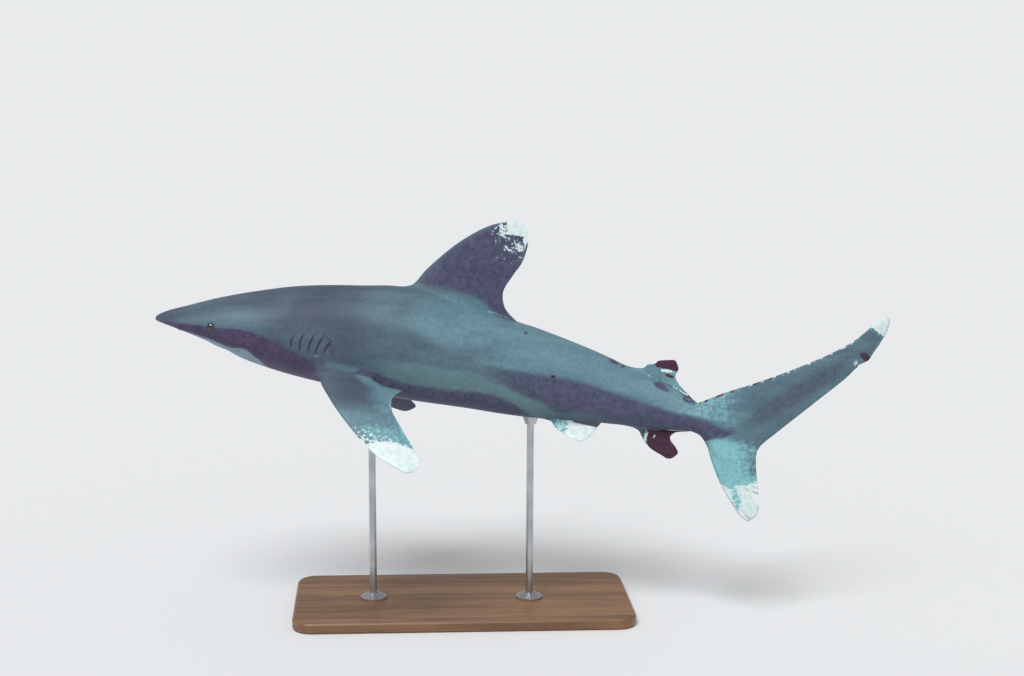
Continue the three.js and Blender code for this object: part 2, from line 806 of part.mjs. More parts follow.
const trunk = WHOLE_BODY.intersect(blockBetween(HEAD_END, straightPlane(TRUNK_END)));
add("trunk", geometryFrom(trunk), COLOURS.trunk);
const stock = WHOLE_BODY.intersect(blockBetween(straightPlane(TRUNK_END), BEHIND_STOCK));
add("tail_stock", geometryFrom(stock), COLOURS.trunk);
add("caudal_fin", geometryFrom(tailFin()), COLOURS.fin);

add("dorsal_fin_first", geometryFrom(fin(FIRST_DORSAL, onMidline)), COLOURS.fin);
add("dorsal_fin_second", geometryFrom(fin(SECOND_DORSAL, onMidline)), COLOURS.black);
add("anal_fin", geometryFrom(fin(ANAL, onMidline)), COLOURS.black);
for (const [name, side] of SIDES) {
  add("pectoral_fin_" + name, geometryFrom(fin(PECTORAL, onSide(PECTORAL, side))), COLOURS.fin);
  add("pelvic_fin_" + name, geometryFrom(fin(PELVIC, onSide(PELVIC, side))), COLOURS.whiteFin);
}

add("stand_base", baseGeometry(), COLOURS.wood, 0.45);
for (const [name, place] of Object.entries(ROD_PLACES)) {
  add("stand_rod_" + name, geometryFrom(rodSolid(place)), COLOURS.steel, 0.3, 1);
  add("stand_collar_" + name, collarGeometry(place), COLOURS.steel, 0.3, 1);
  add("stand_cup_" + name, geometryFrom(cupSolid(place)), COLOURS.steel, 0.3, 1);
}

export default shark;
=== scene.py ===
import math

import bpy
import numpy as np
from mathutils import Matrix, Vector
from mathutils.kdtree import KDTree


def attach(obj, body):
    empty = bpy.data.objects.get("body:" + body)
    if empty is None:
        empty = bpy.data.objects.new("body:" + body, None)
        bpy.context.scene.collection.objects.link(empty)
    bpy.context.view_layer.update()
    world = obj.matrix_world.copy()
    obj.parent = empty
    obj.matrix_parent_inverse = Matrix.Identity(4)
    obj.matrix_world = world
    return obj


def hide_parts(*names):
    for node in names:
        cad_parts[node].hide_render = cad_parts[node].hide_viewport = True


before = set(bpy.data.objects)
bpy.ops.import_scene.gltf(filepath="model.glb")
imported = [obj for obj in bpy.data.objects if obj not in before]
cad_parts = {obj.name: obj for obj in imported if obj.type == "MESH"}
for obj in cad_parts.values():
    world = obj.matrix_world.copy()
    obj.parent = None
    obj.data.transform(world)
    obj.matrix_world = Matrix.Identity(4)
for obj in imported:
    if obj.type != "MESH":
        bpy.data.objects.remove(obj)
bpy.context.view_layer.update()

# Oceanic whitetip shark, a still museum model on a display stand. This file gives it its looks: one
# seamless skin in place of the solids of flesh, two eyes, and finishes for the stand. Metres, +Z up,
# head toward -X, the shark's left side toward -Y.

# ---- Camera ----

VIEW = {
    "azimuth": -2.5,  # degrees round the model, 0 looks along +Y
    "elevation": 11.0,
    "distance": 3.74,
    "target_height": 0.57,
    "lens": 59.25,
    "shift": (0.0485, 0.0230),
}


def toward(place):
    """The way from the model toward a camera or lamp at an azimuth and elevation."""
    azimuth, elevation = math.radians(place["azimuth"]), math.radians(place["elevation"])
    level = math.cos(elevation)
    return Vector((math.sin(azimuth) * level, -math.cos(azimuth) * level, math.sin(elevation)))


def add_facing(name, data, way):
    """Adds a camera or lamp that faces back along the way toward it."""
    made = bpy.data.objects.new(name, data)
    made.rotation_mode = "QUATERNION"
    made.rotation_quaternion = way.to_track_quat("Z", "Y")
    bpy.context.scene.collection.objects.link(made)
    return made


def make_camera():
    """The viewing angle onto the left side, a little from above and ahead."""
    data = bpy.data.cameras.new("camera")
    data.lens = VIEW["lens"]
    data.shift_x, data.shift_y = VIEW["shift"]
    camera = add_facing("camera", data, toward(VIEW))
    camera.location = Vector((0, 0, VIEW["target_height"])) + toward(VIEW) * VIEW["distance"]
    bpy.context.scene.camera = camera


make_camera()

# ---- Driving dimensions ----
# The shark is drawn straight first: s runs back from the snout, r toward its right side and z up,
# all in percent of its total length. pose() bends it into the swimming curve of the solids. The
# outlines are the CAD model's own.

PERCENT = 0.017  # metres in one percent of the total length
MILLIMETRE = 0.001 / PERCENT

# Turns in degrees, each with the stretch of the body that it comes or goes over.
SWIM = {
    "head_yaw": 2,
    "head_dip": 4,
    "head": (0, 30),
    "tail_yaw": -21,
    "tail": (36, 70),
    "fin_yaw": 13,
    "fin": (70, 84),
    "tail_rise": 1.5,
    "rise": (30, 60),
    "nose_up": 10.3,
    "anchor": 35,  # the place that stays put as the axis bends
    "pivot": 40,  # the place over the middle of the stand
    "height": 0.57,  # metres
}

# Distance from the snout, top, bottom, half width, level of the widest point.
BODY = [
    [0, 0, 0, 0, 0],
    [1.5, 1.1, -0.4, 2.5, -0.1],
    [4, 2, -1.15, 3.8, 0],
    [7.5, 3.3, -2.3, 4.75, 0.1],
    [12, 4.7, -4, 5.5, 0.3],
    [18, 6.3, -5.2, 6.1, 0.5],
    [25, 7.5, -5.8, 6.5, 0.6],
    [33, 8.5, -6.05, 6.5, 0.6],
    [41, 7.15, -5.9, 6, 0.5],
    [49, 5.85, -5.8, 5, 0.3],
    [57, 4.2, -4.95, 3.8, 0],
    [63, 2.7, -4.4, 2.8, -0.6],
    [68, 1.55, -3.9, 2, -1.2],
    [72, 0, -3.3, 1.5, -1.6],
]
SIDE_SQUARENESS = 2.1
BELLY_SQUARENESS = 2.2
STOCK_END = 71

EYE = {
    "s": 7.35,
    "phi": 84,
    "radius": 9.4 * MILLIMETRE,
    "flatness": 0.94,  # its height over its length
    "front": 5 * MILLIMETRE,
    "cornea": 0.8 * MILLIMETRE,
    "back": 7 * MILLIMETRE,
    "sunk": 2.8 * MILLIMETRE,
    "socket": 5,  # millimetres deep
    "deep": 1.2,  # nothing farther than this from the skin at its middle belongs to it
    "rings": 32,
    "sectors": 64,
}
MOUTH = {
    "front": 7,
    "corner": 11.3,
    "half_width": 4,
    "fade": (-0.05, 0.3),  # past the half width, where the groove runs out
    "end": 20,  # nothing of the lower jaw lies behind this
    "depth": 0.24,
    "lip": 0.07,
    "recess": 0.15,
    "furrow": [(11.1, 128), (10.2, 122)],  # runs forward from the corner
}
# Ends of the slit: place, and angle round the body in degrees.
NOSTRIL = {"ends": [(3, 112), (4, 135)], "depth": 0.2, "flap": 0.07}
# Gill slits, front to rear: place and level of the lower end, place and level of the upper end.
GILLS = [
    [17.9, -0.8, 17.9, 0.9],
    [18.95, -1.25, 19.1, 1.35],
    [20.05, -1.1, 20.5, 1.5],
    [21, -1.05, 21.7, 1.5],
    [22.05, -0.85, 22.75, 1],
]
GILL_FOLD = {"bow": 0.25, "flap": 0.09, "depth": 0.12}
GILL_HEIGHT = 2.6  # about how tall a slit is
GILL_SIDE = 3  # the slits lie farther out to the side than this
# Folds round the eye, in millimetres: height all round, above the eye only and below it only, then
# distance out from the eye's edge, and width.
EYE_FOLDS = [
    [0.75, 0.35, 0, 0.3, 0.95],
    [-0.35, 0, 0, 2.6, 0.9],
    [0, 0.45, 0, 5.2, 2.2],
    [0, 0, 0.4, 2.2, 1.2],
]
RIDGE = {"height": 0.13, "width": 0.26, "along": (46, 48.5, 59, 61)}
TAIL_PITS = {"s": 71, "length": 0.22, "upper": (0.14, 0.55), "lower": (0.084, 0.4)}  # depth, width
KEEL = {"height": 0.1, "z": -1.2, "width": 0.45, "along": (66, 69, 72, 76)}
RELIEF_END = 77  # the tail fin is smooth behind this
FILLET = {"reach": 1.2, "rounds": 40}
# The longest edges at a fold and at the eye, how fast they may grow away from them, the half widths
# that each keeps fine, and the rounds of splitting.
DETAIL = {
    "fold": 0.075,
    "eye": 0.042,
    "growth": 0.4,
    "beside_gill": 0.22,
    "beside_fold": 0.25,
    "beside_eye": 0.8,
    "rounds": 3,
}
FAR = 9.0  # a distance that counts as nowhere near

# Fin outlines keyed by u, 0 at the base and 1 at the tip: u, place along the body, height over the
# fin's own base line. around is where the base sits on the body's section, in half turns from the
# back; first_side is the side of the fin that faces the smaller angle.
FIRST_DORSAL = {
    "name": "first_dorsal",
    "leading": [
        [0, 29.9, 7.6], [0.06, 31.2, 8.8], [0.15, 32.3, 9.85], [0.3, 34, 12.1],
        [0.58, 37.4, 15.85], [0.8, 40.5, 18.15], [1, 43.3, 19.2],
    ],
    "inner": [[0, 41.8, 6.2], [0.05, 42.2, 7.02], [0.085, 44.1, 6.73], [0.12, 46.1, 6.4]],
    "rear": [
        [0.12, 46.1, 6.4], [0.2, 44.5, 7.6], [0.3, 43.7, 9.4], [0.48, 44.6, 12.3],
        [0.6, 45.4, 13.9], [0.72, 45.75, 15.6], [0.86, 45.7, 17.2], [0.95, 45.2, 18.5],
        [1, 44.4, 19.1],
    ],
    "thickness": 0.085,
    "around": 0,
    "first_side": -1,
}
SECOND_DORSAL = {
    "name": "second_dorsal",
    "leading": [
        [0, 59.9, 3.1], [0.08, 61.4, 3.4], [0.3, 62.9, 3.72], [0.5, 64, 4.15], [0.8, 65.6, 4.85],
        [1, 66.9, 5.15],
    ],
    "inner": [
        [0, 65.1, 1.5], [0.08, 65.5, 2.26], [0.115, 66.5, 2.03], [0.15, 67.5, 1.78],
        [0.185, 68.9, 1.29], [0.22, 70.4, 0.69],
    ],
    "rear": [
        [0.22, 70.4, 0.69], [0.4, 68.9, 1.75], [0.5, 68.1, 2.4], [0.6, 67.7, 3],
        [0.82, 67.88, 4.2], [1, 67.5, 4.95],
    ],
    "thickness": 0.09,
    "around": 0,
    "first_side": -1,
}
ANAL = {
    "name": "anal",
    "leading": [
        [0, 62.2, -3.9], [0.08, 63, -4.6], [0.4, 64.8, -5.75], [0.7, 66.2, -6.8], [1, 68.1, -7.48],
    ],
    "inner": [[0, 66.4, -3.4], [0.08, 66.8, -4.11], [0.14, 68.6, -3.88], [0.2, 70.5, -3.57]],
    "rear": [
        [0.2, 70.5, -3.57], [0.32, 69.1, -3.95], [0.42, 68.4, -4.6], [0.52, 68.5, -5.1],
        [0.75, 69.4, -6], [0.88, 69.75, -6.6], [1, 69.4, -7.2],
    ],
    "thickness": 0.09,
    "around": 1,
    "first_side": 1,
}
PECTORAL = {
    "name": "pectoral",
    "leading": [
        [0, -0.5, -1.6], [0.08, -0.1, 0.1], [0.3, 2.2, 4.5], [0.55, 5.6, 9.2], [0.78, 9, 12.9],
        [1, 12.3, 14.95],
    ],
    "inner": [[0, 4.2, -2], [0.04, 4.75, -1.1], [0.09, 6.2, 0.2], [0.14, 8.4, 1.55], [0.2, 11.1, 2.25]],
    "rear": [
        [0.2, 11.1, 2.25], [0.25, 10.2, 3.2], [0.34, 10, 4.9], [0.52, 11.7, 8.5],
        [0.72, 13.5, 11.6], [0.88, 14.4, 13.6], [1, 13.7, 14.95],
    ],
    "thickness": 0.1,
    "base": [21.5, 5.3, -3.3],
    "droop": 38,
    "rise": 5,
}
PELVIC = {
    "name": "pelvic",
    "leading": [[0, -0.3, -1], [0.1, 0, 0.1], [0.5, 2.4, 1.9], [0.8, 4, 2.8], [1, 5.1, 3.15]],
    "inner": [[0, 3.2, -1.2], [0.1, 3.5, -0.25], [0.25, 7.1, 0.25]],
    "rear": [[0.25, 7.1, 0.25], [0.5, 6.8, 1.3], [0.8, 6.4, 2.4], [1, 5.9, 2.95]],
    "thickness": 0.09,
    "base": [51.9, 1.7, -5.25],
    "droop": 32,
    "rise": 2,
}
FIN_EDGE = 0.4 * MILLIMETRE

TAIL_UPPER = [
    [0, 71, 0.3], [0.05, 72.1, 0.95], [0.12, 73.7, 2], [0.28, 77.6, 4.1], [0.5, 82.9, 6.8],
    [0.7, 87.6, 9.35], [0.8, 90.1, 11], [0.9, 92.1, 13], [1, 94.1, 14.8],
]
TAIL_LOWER = [
    [0, 71, -3.44], [0.07, 72.1, -3.7], [0.14, 73, -4.6], [0.28, 74.05, -6.5], [0.47, 75.2, -8.55],
    [0.7, 76.8, -10.75], [0.84, 78.05, -12.2], [0.94, 79.3, -13.45], [1, 80.3, -13.93],
]
TAIL_REAR = [
    [0, 94.1, 14.8], [0.02, 94.6, 14.4], [0.045, 94.7, 13.5], [0.1, 94, 11.3], [0.15, 93.15, 9.6],
    [0.178, 92.72, 8.7], [0.2, 91.7, 8], [0.26, 90.2, 6.3], [0.4, 86, 2.2], [0.55, 81.4, -2.3],
    [0.6, 80.1, -3.65], [0.64, 79.68, -4.7], [0.7, 79.9, -6.3], [0.84, 81.05, -10.3],
    [0.905, 81.38, -11.7], [0.965, 81.2, -13.2], [1, 80.3, -13.93],
]
TAIL_PLATE = {"thickness": 0.075, "fleshy": 9, "edge_reach": 0.33, "root_reach": 0.12}
# Cuts in the rear margin, each drawn by rows of a share of the margin and the point it moves to, and
# pulled from the given share of the way out: the notch under the upper tip, two nicks, the old tear
# and a nick in the lower tip.
TAIL_CUTS = [
    [0.85, [0.178, 92.72, 8.68], [0.188, 91.95, 8.88], [0.194, 91.25, 8.8], [0.2, 91.42, 8.1],
        [0.208, 91.45, 7.75]],
    [0.85, [0.786, 80.6, -8.75], [0.793, 80.15, -8.8], [0.798, 80.7, -9.1]],
    [0.85, [0.81, 80.8, -9.45], [0.817, 80.4, -9.4], [0.822, 80.9, -9.78]],
    [0.6, [0.84, 81.05, -10.3], [0.8725, 79.55, -9.6], [0.893, 80.45, -11], [0.905, 81.38, -11.7]],
    [0.85, [0.98, 80.75, -13.7], [0.985, 80.5, -13.2], [0.989, 80.55, -13.8]],
]

# ---- Curves and the swimming pose ----


def through(rows, t):
    """Smooth values through keyed rows [t, value, value ...] at each t."""
    rows = np.asarray(rows, float)
    keys, values = rows[:, 0], rows[:, 1:]
    gaps = np.diff(keys)[:, None]
    slopes = np.diff(values, axis=0) / gaps
    tangents = np.empty_like(values)
    tangents[0], tangents[-1] = slopes[0], slopes[-1]
    tangents[1:-1] = (slopes[:-1] * gaps[1:] + slopes[1:] * gaps[:-1]) / (gaps[1:] + gaps[:-1])
    t = np.clip(np.asarray(t, float), keys[0], keys[-1])
    i = np.clip(np.searchsorted(keys, t, side="right") - 1, 0, len(keys) - 2)
    x = (t[..., None] - keys[i][..., None]) / gaps[i]
    return (
        (1 + 2 * x) * (1 - x) ** 2 * values[i]
        + x * (1 - x) ** 2 * gaps[i] * tangents[i]
        + x * x * (3 - 2 * x) * values[i + 1]
        + x * x * (x - 1) * gaps[i] * tangents[i + 1]
    )


def columns(rows, t):
    """Smooth values through keyed rows, as one array for each column."""
    return np.moveaxis(through(rows, t), -1, 0)


def stepped(x, rows):
    """Straight lines through rows of place and value."""
    return np.interp(x, [row[0] for row in rows], [row[1] for row in rows])


def place_at(outline, level):
    """Where an outline lies along the body at a level."""
    return stepped(level, sorted([row[2], row[1]] for row in outline))


def most(*fields):
    """The largest of several fields at each point."""
    return np.max(np.broadcast_arrays(*fields), 0)


def least(*fields):
    """The smallest of several fields at each point."""
    return np.min(np.broadcast_arrays(*fields), 0)


def ease(x, start, end):
    """0 before start, 1 after end and smooth between; start may be the larger."""
    t = np.clip((np.asarray(x, float) - start) / (end - start), 0, 1)
    return t * t * (3 - 2 * t)


def span(x, start, full, fade, end):
    """1 from full to fade, and 0 before start and after end."""
    return ease(x, start, full) * ease(x, end, fade)


def bump(x, centre, width):
    """1 at the centre, falling off smoothly on both sides of it."""
    return np.exp(-(((x - centre) / width) ** 2))


def heading(s):
    """The bent axis's yaw and pitch at s, in radians."""
    head = 1 - ease(s, *SWIM["head"])
    yaw = SWIM["head_yaw"] * head + SWIM["tail_yaw"] * ease(s, *SWIM["tail"])
    yaw = yaw + (SWIM["fin_yaw"] - SWIM["tail_yaw"]) * ease(s, *SWIM["fin"])
    pitch = SWIM["head_dip"] * head + SWIM["tail_rise"] * ease(s, *SWIM["rise"])
    return np.radians(yaw), np.radians(pitch)


def direction(yaw, pitch):
    """The unit vector along the body toward the tail, straight back at no yaw and pitch."""
    return np.stack([np.cos(yaw) * np.cos(pitch), np.sin(yaw) * np.cos(pitch), np.sin(pitch)], -1)


AXIS_S = np.linspace(0, 110, 441)  # a little past the tail's tip, in quarters of a percent


def bent_axis():
    """Points of the bent axis at AXIS_S."""
    along = direction(*heading(AXIS_S))
    steps = (along[1:] + along[:-1]) / 2 * np.diff(AXIS_S)[:, None]
    points = np.concatenate([np.zeros((1, 3)), np.cumsum(steps, 0)])
    anchor = points[np.searchsorted(AXIS_S, SWIM["anchor"])]
    return points - anchor + np.array([SWIM["anchor"], 0, 0])


AXIS = bent_axis()


def pose(points):
    """Points of the straight shark, in percent, as points of the model, in metres."""
    s, r, z = np.asarray(points, float).T
    centre = np.stack([np.interp(s, AXIS_S, AXIS[:, k]) for k in range(3)], -1)
    yaw, pitch = heading(s)
    along = direction(yaw, pitch)
    right = np.stack([-np.sin(yaw), np.cos(yaw), np.zeros_like(yaw)], -1)
    up = np.cross(along, right)
    at = centre + along * np.minimum(s, 0)[:, None] + right * r[:, None] + up * z[:, None]
    x = at[:, 0] - SWIM["pivot"]
    nose_up = math.radians(SWIM["nose_up"])
    turned_x = x * math.cos(nose_up) + at[:, 2] * math.sin(nose_up)
    turned_z = at[:, 2] * math.cos(nose_up) - x * math.sin(nose_up)
    placed = np.stack([turned_x, at[:, 1], turned_z], -1) * PERCENT
    return placed + np.array([0, 0, SWIM["height"]])


# ---- Body surface ----

BODY_BY_ROOT = [[math.sqrt(row[0]), *row[1:]] for row in BODY]  # keyed so that the snout is round


def section(s):
    """The body's top, bottom, half width and widest level at s."""
    return columns(BODY_BY_ROOT, np.sqrt(np.maximum(s, 0)))


def body_point(s, phi):
    """A point of the body's surface; phi is 0 on the back and grows toward the right side."""
    top, bottom, half_width, widest = section(s)
    cosine, sine = np.cos(phi), np.sin(phi)
    r = half_width * np.sign(sine) * np.abs(sine) ** (2 / SIDE_SQUARENESS)
    lower = np.abs(cosine) ** (2 / BELLY_SQUARENESS)
    z = widest + np.where(cosine > 0, (top - widest) * cosine, (bottom - widest) * lower)
    return np.stack([s + 0 * phi, r, z], -1)


def body_shares(points):
    """How far out points lie on the section's scale, sideways and up or down, with 1 at its sides."""
    s, r, z = points[..., 0], points[..., 1], points[..., 2]
    top, bottom, half_width, widest = section(s)
    upper = z > widest
    side = r / np.maximum(half_width, 1e-6)
    rise = (z - widest) / np.maximum(np.where(upper, top - widest, widest - bottom), 1e-6)
    return side, rise, np.where(upper, 2, BELLY_SQUARENESS)


def body_level(points):
    """Under 1 inside the body and over 1 outside it."""
    side, rise, power = body_shares(points)
    return np.abs(side) ** SIDE_SQUARENESS + np.abs(rise) ** power


def body_angle(points):
    """The phi of the body's surface that lies the way of each point."""
    side, rise, power = body_shares(points)
    sine = np.sign(side) * np.abs(side) ** (SIDE_SQUARENESS / 2)
    cosine = np.sign(rise) * np.abs(rise) ** (power / 2)
    return np.arctan2(sine, cosine)


# ---- Fins ----

CROWN = {"bulge": 0.18, "reach": (0.82, 1)}  # how a fin's tip rounds off, as a share of its chord
FLARE = {"extra": 0.9, "reach": (0.22, 0.04)}  # how much thicker a fin is where it leaves the body
NOSE_SHARE = 0.02  # share of the chord that the rounded leading edge takes
EDGE_SHARE = 0.15  # share of the chord over which the plate's own thickness comes in
SWEEP = 0.92 * math.pi  # under half a turn, so that a row's cells are small at its front only
ACROSS = 4  # cells of the body's grid across a fin's base
FIN_ROWS = 44
HALVINGS = 30  # rounds of the search for the place where a fin leaves the body
BASE_ENDS = 0.06  # the u whose front and rear say how long a gap the fin needs in the body's grid
BASE_MIDDLE = 0.1  # the u whose middle says where round the body the gap is
ROWS_TO_FREE_TIP = 10


def wing_section(share):
    """Half thickness of a streamlined section at a share of its chord, for a section one thick."""
    s = np.clip(share, 0, 1)
    return 5 * (0.2969 * np.sqrt(s) - 0.126 * s - 0.3516 * s**2 + 0.2843 * s**3 - 0.1015 * s**4)


def on_midline(a, b, across):
    """Where a point of an upright fin's outline lies on the straight shark."""
    return np.stack([a, across, b], -1)


def on_side(fin, side):
    """The same for a paired fin, which droops from its base on the left, -1, or the right, 1."""
    droop = math.radians(fin["droop"])
    rise = math.tan(math.radians(fin["rise"]))
    s, r, z = fin["base"]

    def place(a, b, across):
        out = side * (r + b * math.cos(droop) + across * math.sin(droop))
        up = z + a * rise - b * math.sin(droop) + across * math.cos(droop)
        return np.stack([s + a, out, up], -1)

    return place


def fin_point(fin, place, u, share, across):
    """A point of a fin's surface; across runs from -1 on one face to 1 on the other."""
    free_tip = fin["rear"][0][0]
    lead = through(fin["leading"], u)
    trail = np.where((u < free_tip)[..., None], through(fin["inner"], u), through(fin["rear"], u))
    chord = np.linalg.norm(trail - lead, axis=-1)
    a, b = np.moveaxis(lead + (trail - lead) * share[..., None], -1, 0)
    crown = CROWN["bulge"] * chord * 4 * share * (1 - share) * ease(u, *CROWN["reach"])
    b = b + crown * np.sign(fin["rear"][-1][2] - fin["rear"][0][2])
    flare = 1 + FLARE["extra"] * ease(u, *FLARE["reach"])
    half = fin["thickness"] * chord * flare * wing_section(share)
    return place(a, b, across * (half + FIN_EDGE * np.clip(share / EDGE_SHARE, 0, 1)))


def fin_loop(cells):
    """Share of the chord and place across for each vertex of the closed section, from the front
    corner back along the first face, round the rear edge, and forward to the nose."""
    steps = np.arange(cells + 1) / cells
    along = NOSE_SHARE + (1 - NOSE_SHARE) * (1 - np.cos(SWEEP * steps)) / (1 - np.cos(SWEEP))
    rear = np.linspace(1, -1, ACROSS + 1)[1:-1]
    nose = NOSE_SHARE * np.linspace(-1, 1, ACROSS + 1)[1:-1] ** 2
    share = np.concatenate([along, np.ones(len(rear)), along[::-1], nose])
    nose_side = np.sign(np.linspace(-1, 1, ACROSS + 1)[1:-1])
    across = np.concatenate([np.ones(cells + 1), rear, -np.ones(cells + 1), nose_side])
    return share, across


def fin_rows(fin, place, cells):
    """Rows of the fin's section from the body's surface to the tip."""
    share, across = fin_loop(cells)
    across = across * fin["first_side"]
    free_tip = fin["rear"][0][0]
    low, start = np.zeros(len(share)), np.full(len(share), free_tip)
    for _ in range(HALVINGS):
        middle = (low + start) / 2
        outside = body_level(fin_point(fin, place, middle, share, across)) > 1
        low, start = np.where(outside, low, middle), np.where(outside, middle, start)
    t = np.linspace(0, 1, FIN_ROWS + 1)[:, None]
    knee = ROWS_TO_FREE_TIP / FIN_ROWS
    u = np.where(
        t < knee,
        start + (free_tip - start) * t / knee,
        free_tip + (1 - free_tip) * (t - knee) / (1 - knee),
    )
    shares = np.broadcast_to(share, u.shape)
    return fin_point(fin, place, u, shares, np.broadcast_to(across, u.shape))


def placed_fins():
    """Every fin with how it is placed, and where its base sits on the body's section."""
    fins = [(fin, on_midline, fin["around"] * math.pi) for fin in (FIRST_DORSAL, SECOND_DORSAL, ANAL)]
    for shape in (PECTORAL, PELVIC):
        for side, word in ((-1, "left"), (1, "right")):
            fin = {**shape, "name": shape["name"] + "_" + word, "first_side": side}
            place = on_side(shape, side)
            base = fin_point(fin, place, np.array([BASE_MIDDLE]), np.array([0.5]), np.zeros(1))
            fins.append((fin, place, float(body_angle(base)[0]) % (2 * math.pi)))
    return fins


# ---- One mesh of body, fins and tail ----

COLUMNS = 184  # round the body
TAIL_ROWS = 60
RING_SPACING = [[0, 0.02], [0.4, 0.09], [3, 0.2], [24, 0.22], [30, 0.42], [71, 0.38]]
REGIONS = ["body", "tail", "first_dorsal", "second_dorsal", "anal"]
REGIONS += ["pectoral_left", "pectoral_right", "pelvic_left", "pelvic_right"]
BODY_REGION = REGIONS.index("body")
TAIL_REGION = REGIONS.index("tail")
FIRST_RING = 0.004
BASE_NEAR = 0.02  # under this a point counts as clear of the fins' rounded bases
# How the tail's columns crowd: evenness over the margin, weight of a cut, and reach past its ends.
TAIL_CROWDING = {"even": 0.25, "cut": 0.14, "reach": 0.003}


def ring_places():
    """Where the rings of the body's grid lie along it."""
    places = [FIRST_RING]
    while places[-1] < STOCK_END:
        gap = np.interp(places[-1], *zip(*RING_SPACING))
        places.append(places[-1] + float(gap))
    return np.array(places) * STOCK_END / places[-1]


def relaxed(shift, fixed, rounds=400):
    """Spreads the shifts of the fixed grid vertices smoothly over their neighbours."""
    for _ in range(rounds):
        beside = np.roll(shift, 1, 1) + np.roll(shift, -1, 1)
        above = np.roll(shift, 1, 0) + np.roll(shift, -1, 0)
        shift = np.where(fixed[..., None], shift, (beside + above) / 4)
    return shift


class Surface:
    """A mesh as it grows: its points, the region each is in, its faces and the fins' base loops."""

    def __init__(self):
        self.points = []
        self.region = []
        self.faces = []
        self.bases = []
        self.count = 0

    def add(self, points, region):
        """Adds a grid of points and returns the grid of their numbers."""
        shape = points.shape[:-1]
        number = self.count + np.arange(math.prod(shape)).reshape(shape)
        self.count += number.size
        self.points.append(points.reshape(-1, 3))
        self.region.append(np.full(number.size, region))
        return number

    def quads(self, a, b, c, d):
        """Adds the four-sided faces a b c d, each cut in two."""
        a, b, c, d = (np.ravel(x) for x in (a, b, c, d))
        self.faces += [np.stack([a, b, c], -1), np.stack([a, c, d], -1)]

    def fan(self, middle, ring):
        """Closes a ring of points with the point in its middle."""
        self.faces.append(np.stack([np.full(len(ring), middle), ring, np.roll(ring, -1)], -1))

    def close(self):
        """Joins the lists, and leaves out the points inside the fins' bases, which no face uses."""
        points, faces = np.concatenate(self.points), np.concatenate(self.faces)
        used = np.zeros(len(points), bool)
        used[faces] = True
        number = np.cumsum(used) - 1
        self.points, self.faces = points[used], number[faces]
        self.region = np.concatenate(self.region)[used]
        self.bases = number[np.concatenate(self.bases)]

    def normals(self):
        a, b, c = self.points[self.faces].transpose(1, 0, 2)
        facing = np.cross(b - a, c - a)
        total = gathered(self.faces.ravel(), np.repeat(facing, 3, 0), len(self.points))
        return total / np.maximum(np.linalg.norm(total, axis=-1), 1e-12)[:, None]


def gathered(number, values, size):
    """The sum of the rows of values that share each number."""
    return np.stack([np.bincount(number, column, size) for column in values.T], -1)


def gap_loop(fin, place, angle, places):
    """The grid's loop of rings and columns round a fin's base, and how many cells long it is."""
    ends = fin_point(fin, place, np.full(2, BASE_ENDS), np.array([0.0, 1.0]), np.zeros(2))[:, 0]
    first, last = np.searchsorted(places, ends)
    column = round(angle / (2 * np.pi) * COLUMNS) - ACROSS // 2
    cells = last - first
    down = [(first + k, column) for k in range(cells + 1)]
    rear = [(last, column + k) for k in range(1, ACROSS)]
    up = [(last - k, column + ACROSS) for k in range(cells + 1)]
    nose = [(first, column + ACROSS - k) for k in range(1, ACROSS)]
    i, j = np.transpose(down + rear + up + nose)
    return i, j % COLUMNS, cells


def build_skin():
    """The body's grid, with each fin's grid stitched into a gap of it and the tail fin at its end."""
    skin = Surface()
    places = ring_places()
    rings = len(places)
    s = np.repeat(places[:, None], COLUMNS, 1)
    phi = np.repeat(np.arange(COLUMNS)[None] * 2 * np.pi / COLUMNS, rings, 0)
    shift = np.zeros((rings, COLUMNS, 2))
    fixed = np.zeros((rings, COLUMNS), bool)
    fixed[[0, 1, -2, -1]] = True
    open_cells = np.zeros((rings, COLUMNS), bool)
    loops = []
    for fin, place, angle in placed_fins():
        i, j, cells = gap_loop(fin, place, angle, places)
        points = fin_rows(fin, place, cells)
        turn = body_angle(points[0]) - phi[i, j]
        shift[i, j, 0] = points[0][:, 0] - s[i, j]
        shift[i, j, 1] = (turn + np.pi) % (2 * np.pi) - np.pi
        fixed[i, j] = True
        for k in range(cells):
            open_cells[i[0] + k, (j[0] + np.arange(ACROSS)) % COLUMNS] = True
        loops.append((fin["name"], (i, j), points, cells))
    shift = relaxed(shift, fixed)
    body = body_point(s + shift[..., 0], phi + shift[..., 1])
    number = skin.add(body, BODY_REGION)
    after = np.roll(number, -1, 1)
    closed = ~open_cells[:-1]
    skin.quads(number[:-1][closed], number[1:][closed], after[1:][closed], after[:-1][closed])
    snout = skin.add(np.zeros(3), BODY_REGION)
    skin.fan(snout, number[0])
    for name, loop, points, cells in loops:
        add_fin(skin, name, number[loop], points, cells)
    add_tail(skin, number[-1], body[-1])
    skin.close()
    return skin


